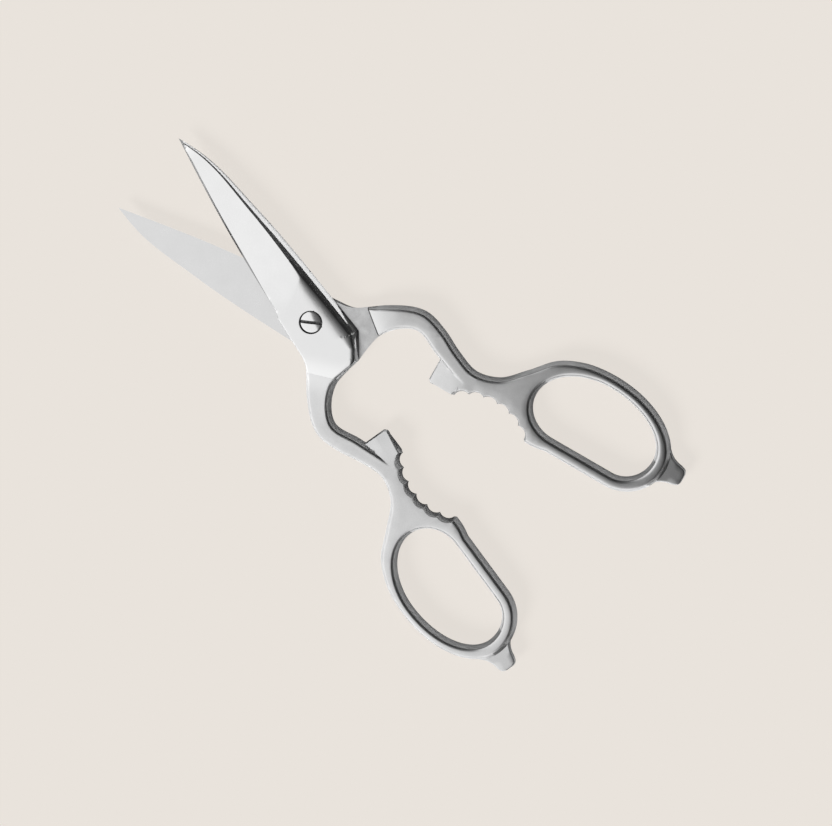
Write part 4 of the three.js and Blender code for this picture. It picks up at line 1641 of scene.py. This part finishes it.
@dataclass
class Studio:
    """Floor, light and camera. Lengths are in metres."""

    floor_size: float = 6.0
    floor_drop: float = 0.00005
    backdrop: Triple = (0.815, 0.768, 0.716)
    floor_glow: float = 0.92
    mirrored_floor: float = 0.92
    dome: float = 0.14
    key: float = 0.86
    key_height: float = 42.0
    key_spread: float = 25.0
    panel_height: float = 0.28
    panel_size: Triple = (2.4, -0.25, 1.7)
    panel_turn: float = -26.6
    panel_levels: Points = (
        (-0.25, 0.02), (-0.1, 0.08), (-0.05, 0.13), (-0.008, 0.25), (0.027, 0.96), (0.16, 0.98),
        (0.3, 1.06), (0.5, 1.22),
    )
    far_side: Point = (0.2, 0.6)
    far_level: float = 1.25
    dark_level: float = 0.022
    sweep_edge: Point = (0.2, 0.26)
    sweep_level: float = 0.4
    tilt: float = 14.3
    target: Triple = (-0.04845, 0.00013, 0.00465)
    distance: float = 2.0
    view_width: float = 0.2909
    right: Point = (-0.745, -0.667)
    sensor: float = 36.0
    clip: Point = (0.05, 20.0)

    def build(self) -> None:
        """Makes the floor, the world, the lights and the camera."""
        self._floor()
        self._world()
        self._key_light()
        self._panel()
        self._camera()

    @staticmethod
    def _sheet(name: str, width: float, low: float, high: float) -> Tuple[Object, NodeBuilder]:
        """Makes a flat rectangle that the frame leaves out of the object.

        Args:
            name: Name of the sheet.
            width: Its length along X.
            low: Where it starts along Y.
            high: Where it ends along Y.

        Returns:
            The sheet as an object, and a builder for its empty material.
        """
        half = width / 2
        mesh = bpy.data.meshes.new(name)
        mesh.from_pydata([(-half, low, 0.0), (half, low, 0.0), (half, high, 0.0), (-half, high, 0.0)], [],
                         [(0, 1, 2, 3)])
        sheet = add_to_scene(name, mesh)
        made = bpy.data.materials.new(name)
        made.use_nodes = True
        made.node_tree.nodes.clear()
        mesh.materials.append(made)
        return sheet, NodeBuilder(made.node_tree)

    def _floor(self) -> None:
        """Lays the pale floor under the scissors."""
        half = self.floor_size / 2
        floor, build = self._sheet("floor", self.floor_size, -half, half)
        floor.location.z = -self.floor_drop
        pale = self.backdrop + (1.0,)
        path = build.add("ShaderNodeLightPath")
        matt, mirrored = (build.add("ShaderNodeBsdfDiffuse", {"Color": colour})[0]
                          for colour in (pale, grey(self.mirrored_floor)))
        glow = build.add("ShaderNodeEmission", {"Color": pale})[0]
        seen = build.mix_shader(build.math("MULTIPLY", path["Is Camera Ray"], self.floor_glow), matt, glow)
        both = build.mix_shader(path["Is Glossy Ray"], seen, mirrored)
        build.add("ShaderNodeOutputMaterial", {"Surface": both})

    def _world(self) -> None:
        """Sets a plain dome for the floor, and a bright far side over a pale sweep for the steel."""
        world = bpy.data.worlds.new("studio")
        bpy.context.scene.world = world
        world.use_nodes = True
        world.node_tree.nodes.clear()
        build = NodeBuilder(world.node_tree)
        place = build.add("ShaderNodeTexCoord")["Generated"]
        split = build.add("ShaderNodeSeparateXYZ", {0: place})
        side = build.ramp(split["Y"], self.far_side, (self.dark_level, self.far_level))
        sweep = build.ramp(split["Z"], self.sweep_edge, (self.sweep_level, 0.0))
        levels = ((grey(1.0), self.dome), (grey(1.0), build.math("MAXIMUM", side, sweep)),
                  (self.backdrop + (1.0,), 1.0))
        dome, far, pale = (build.add("ShaderNodeBackground", {"Color": colour, "Strength": strength})[0]
                           for colour, strength in levels)
        path = build.add("ShaderNodeLightPath")
        mirrored = build.mix_shader(path["Is Glossy Ray"], dome, far)
        seen = build.mix_shader(path["Is Camera Ray"], mirrored, pale)
        build.add("ShaderNodeOutputWorld", {"Surface": seen})

    def _key_light(self) -> None:
        """Lights the floor softly from the far side."""
        data = bpy.data.lights.new("key", "SUN")
        data.angle = math.radians(self.key_spread)
        height = math.radians(self.key_height)
        data.energy = self.key * math.pi / math.sin(height)
        lamp = add_to_scene("key", data)
        lamp.rotation_euler = (height - math.pi / 2, 0.0, 0.0)
        lamp.visible_glossy = False

    def _panel(self) -> None:
        """Hangs the white panel that the flats mirror, fading out over the rear handle."""
        panel, build = self._sheet("panel", *self.panel_size)
        panel.location.z = self.panel_height
        panel.rotation_euler.z = math.radians(self.panel_turn)
        start, end = self.panel_levels[0][0], self.panel_levels[-1][0]
        brightest = max(level for _, level in self.panel_levels)
        shades = build.tree.nodes.new("ShaderNodeValToRGB")
        stops = shades.color_ramp.elements
        while len(stops) < len(self.panel_levels):
            stops.new(0.5)
        for stop, (at, level) in zip(stops, self.panel_levels):
            stop.position = (at - start) / (end - start)
            stop.color = grey(level / brightest)
        shades.color_ramp.interpolation = "EASE"
        split = build.add("ShaderNodeSeparateXYZ", {0: build.add("ShaderNodeTexCoord")["Object"]})
        build.feed(shades, {"Fac": build.ramp(split["Y"], (start, end), curve="LINEAR")})
        glow = build.add("ShaderNodeEmission", {"Color": shades.outputs["Color"], "Strength": brightest})[0]
        clear = build.add("ShaderNodeBsdfTransparent")[0]
        glossy = build.add("ShaderNodeLightPath")["Is Glossy Ray"]
        build.add("ShaderNodeOutputMaterial", {"Surface": build.mix_shader(glossy, clear, glow)})

    def _camera(self) -> None:
        """Places the camera at the photograph's viewing angle."""
        tilt = math.radians(self.tilt)
        back = Vector((0.0, -math.sin(tilt), math.cos(tilt)))
        across = Vector((0.0, math.cos(tilt), math.sin(tilt)))
        right = (Vector((1.0, 0.0, 0.0)) * self.right[0] + across * self.right[1]).normalized()
        turned = Matrix((right, back.cross(right), back)).transposed().to_4x4()
        data = bpy.data.cameras.new("camera")
        data.sensor_width = self.sensor
        data.lens = data.sensor_width * self.distance / self.view_width
        data.clip_start, data.clip_end = self.clip
        camera = add_to_scene("camera", data)
        camera.matrix_world = Matrix.Translation(Vector(self.target) + back * self.distance) @ turned
        bpy.context.scene.camera = camera


def main() -> None:
    """Builds the studio, the two halves and the screw, and reports each piece."""
    logging.basicConfig(level=logging.INFO, format="%(name)s: %(message)s")
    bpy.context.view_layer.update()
    bpy.context.scene.view_settings.view_transform = "Standard"
    Studio().build()
    group = steel_surface_group()
    finishes = {zone: finish.material(group) for zone, finish in FINISHES.items()}
    plan = ForgingPlan()
    for side in Side:
        half = ScissorHalf(side, plan)
        made = half.build()
        half.dress(made, finishes)
        log.info("%s: %d faces", made.name, len(made.data.polygons))
    screw = PivotScrew()
    made = screw.build(SCREW_FINISH.material(group), SLOT_SHADE_FINISH.material(group))
    screw.dress(made)
    log.info("%s: %d faces", made.name, len(made.data.polygons))


if __name__ == "__main__":
    main()
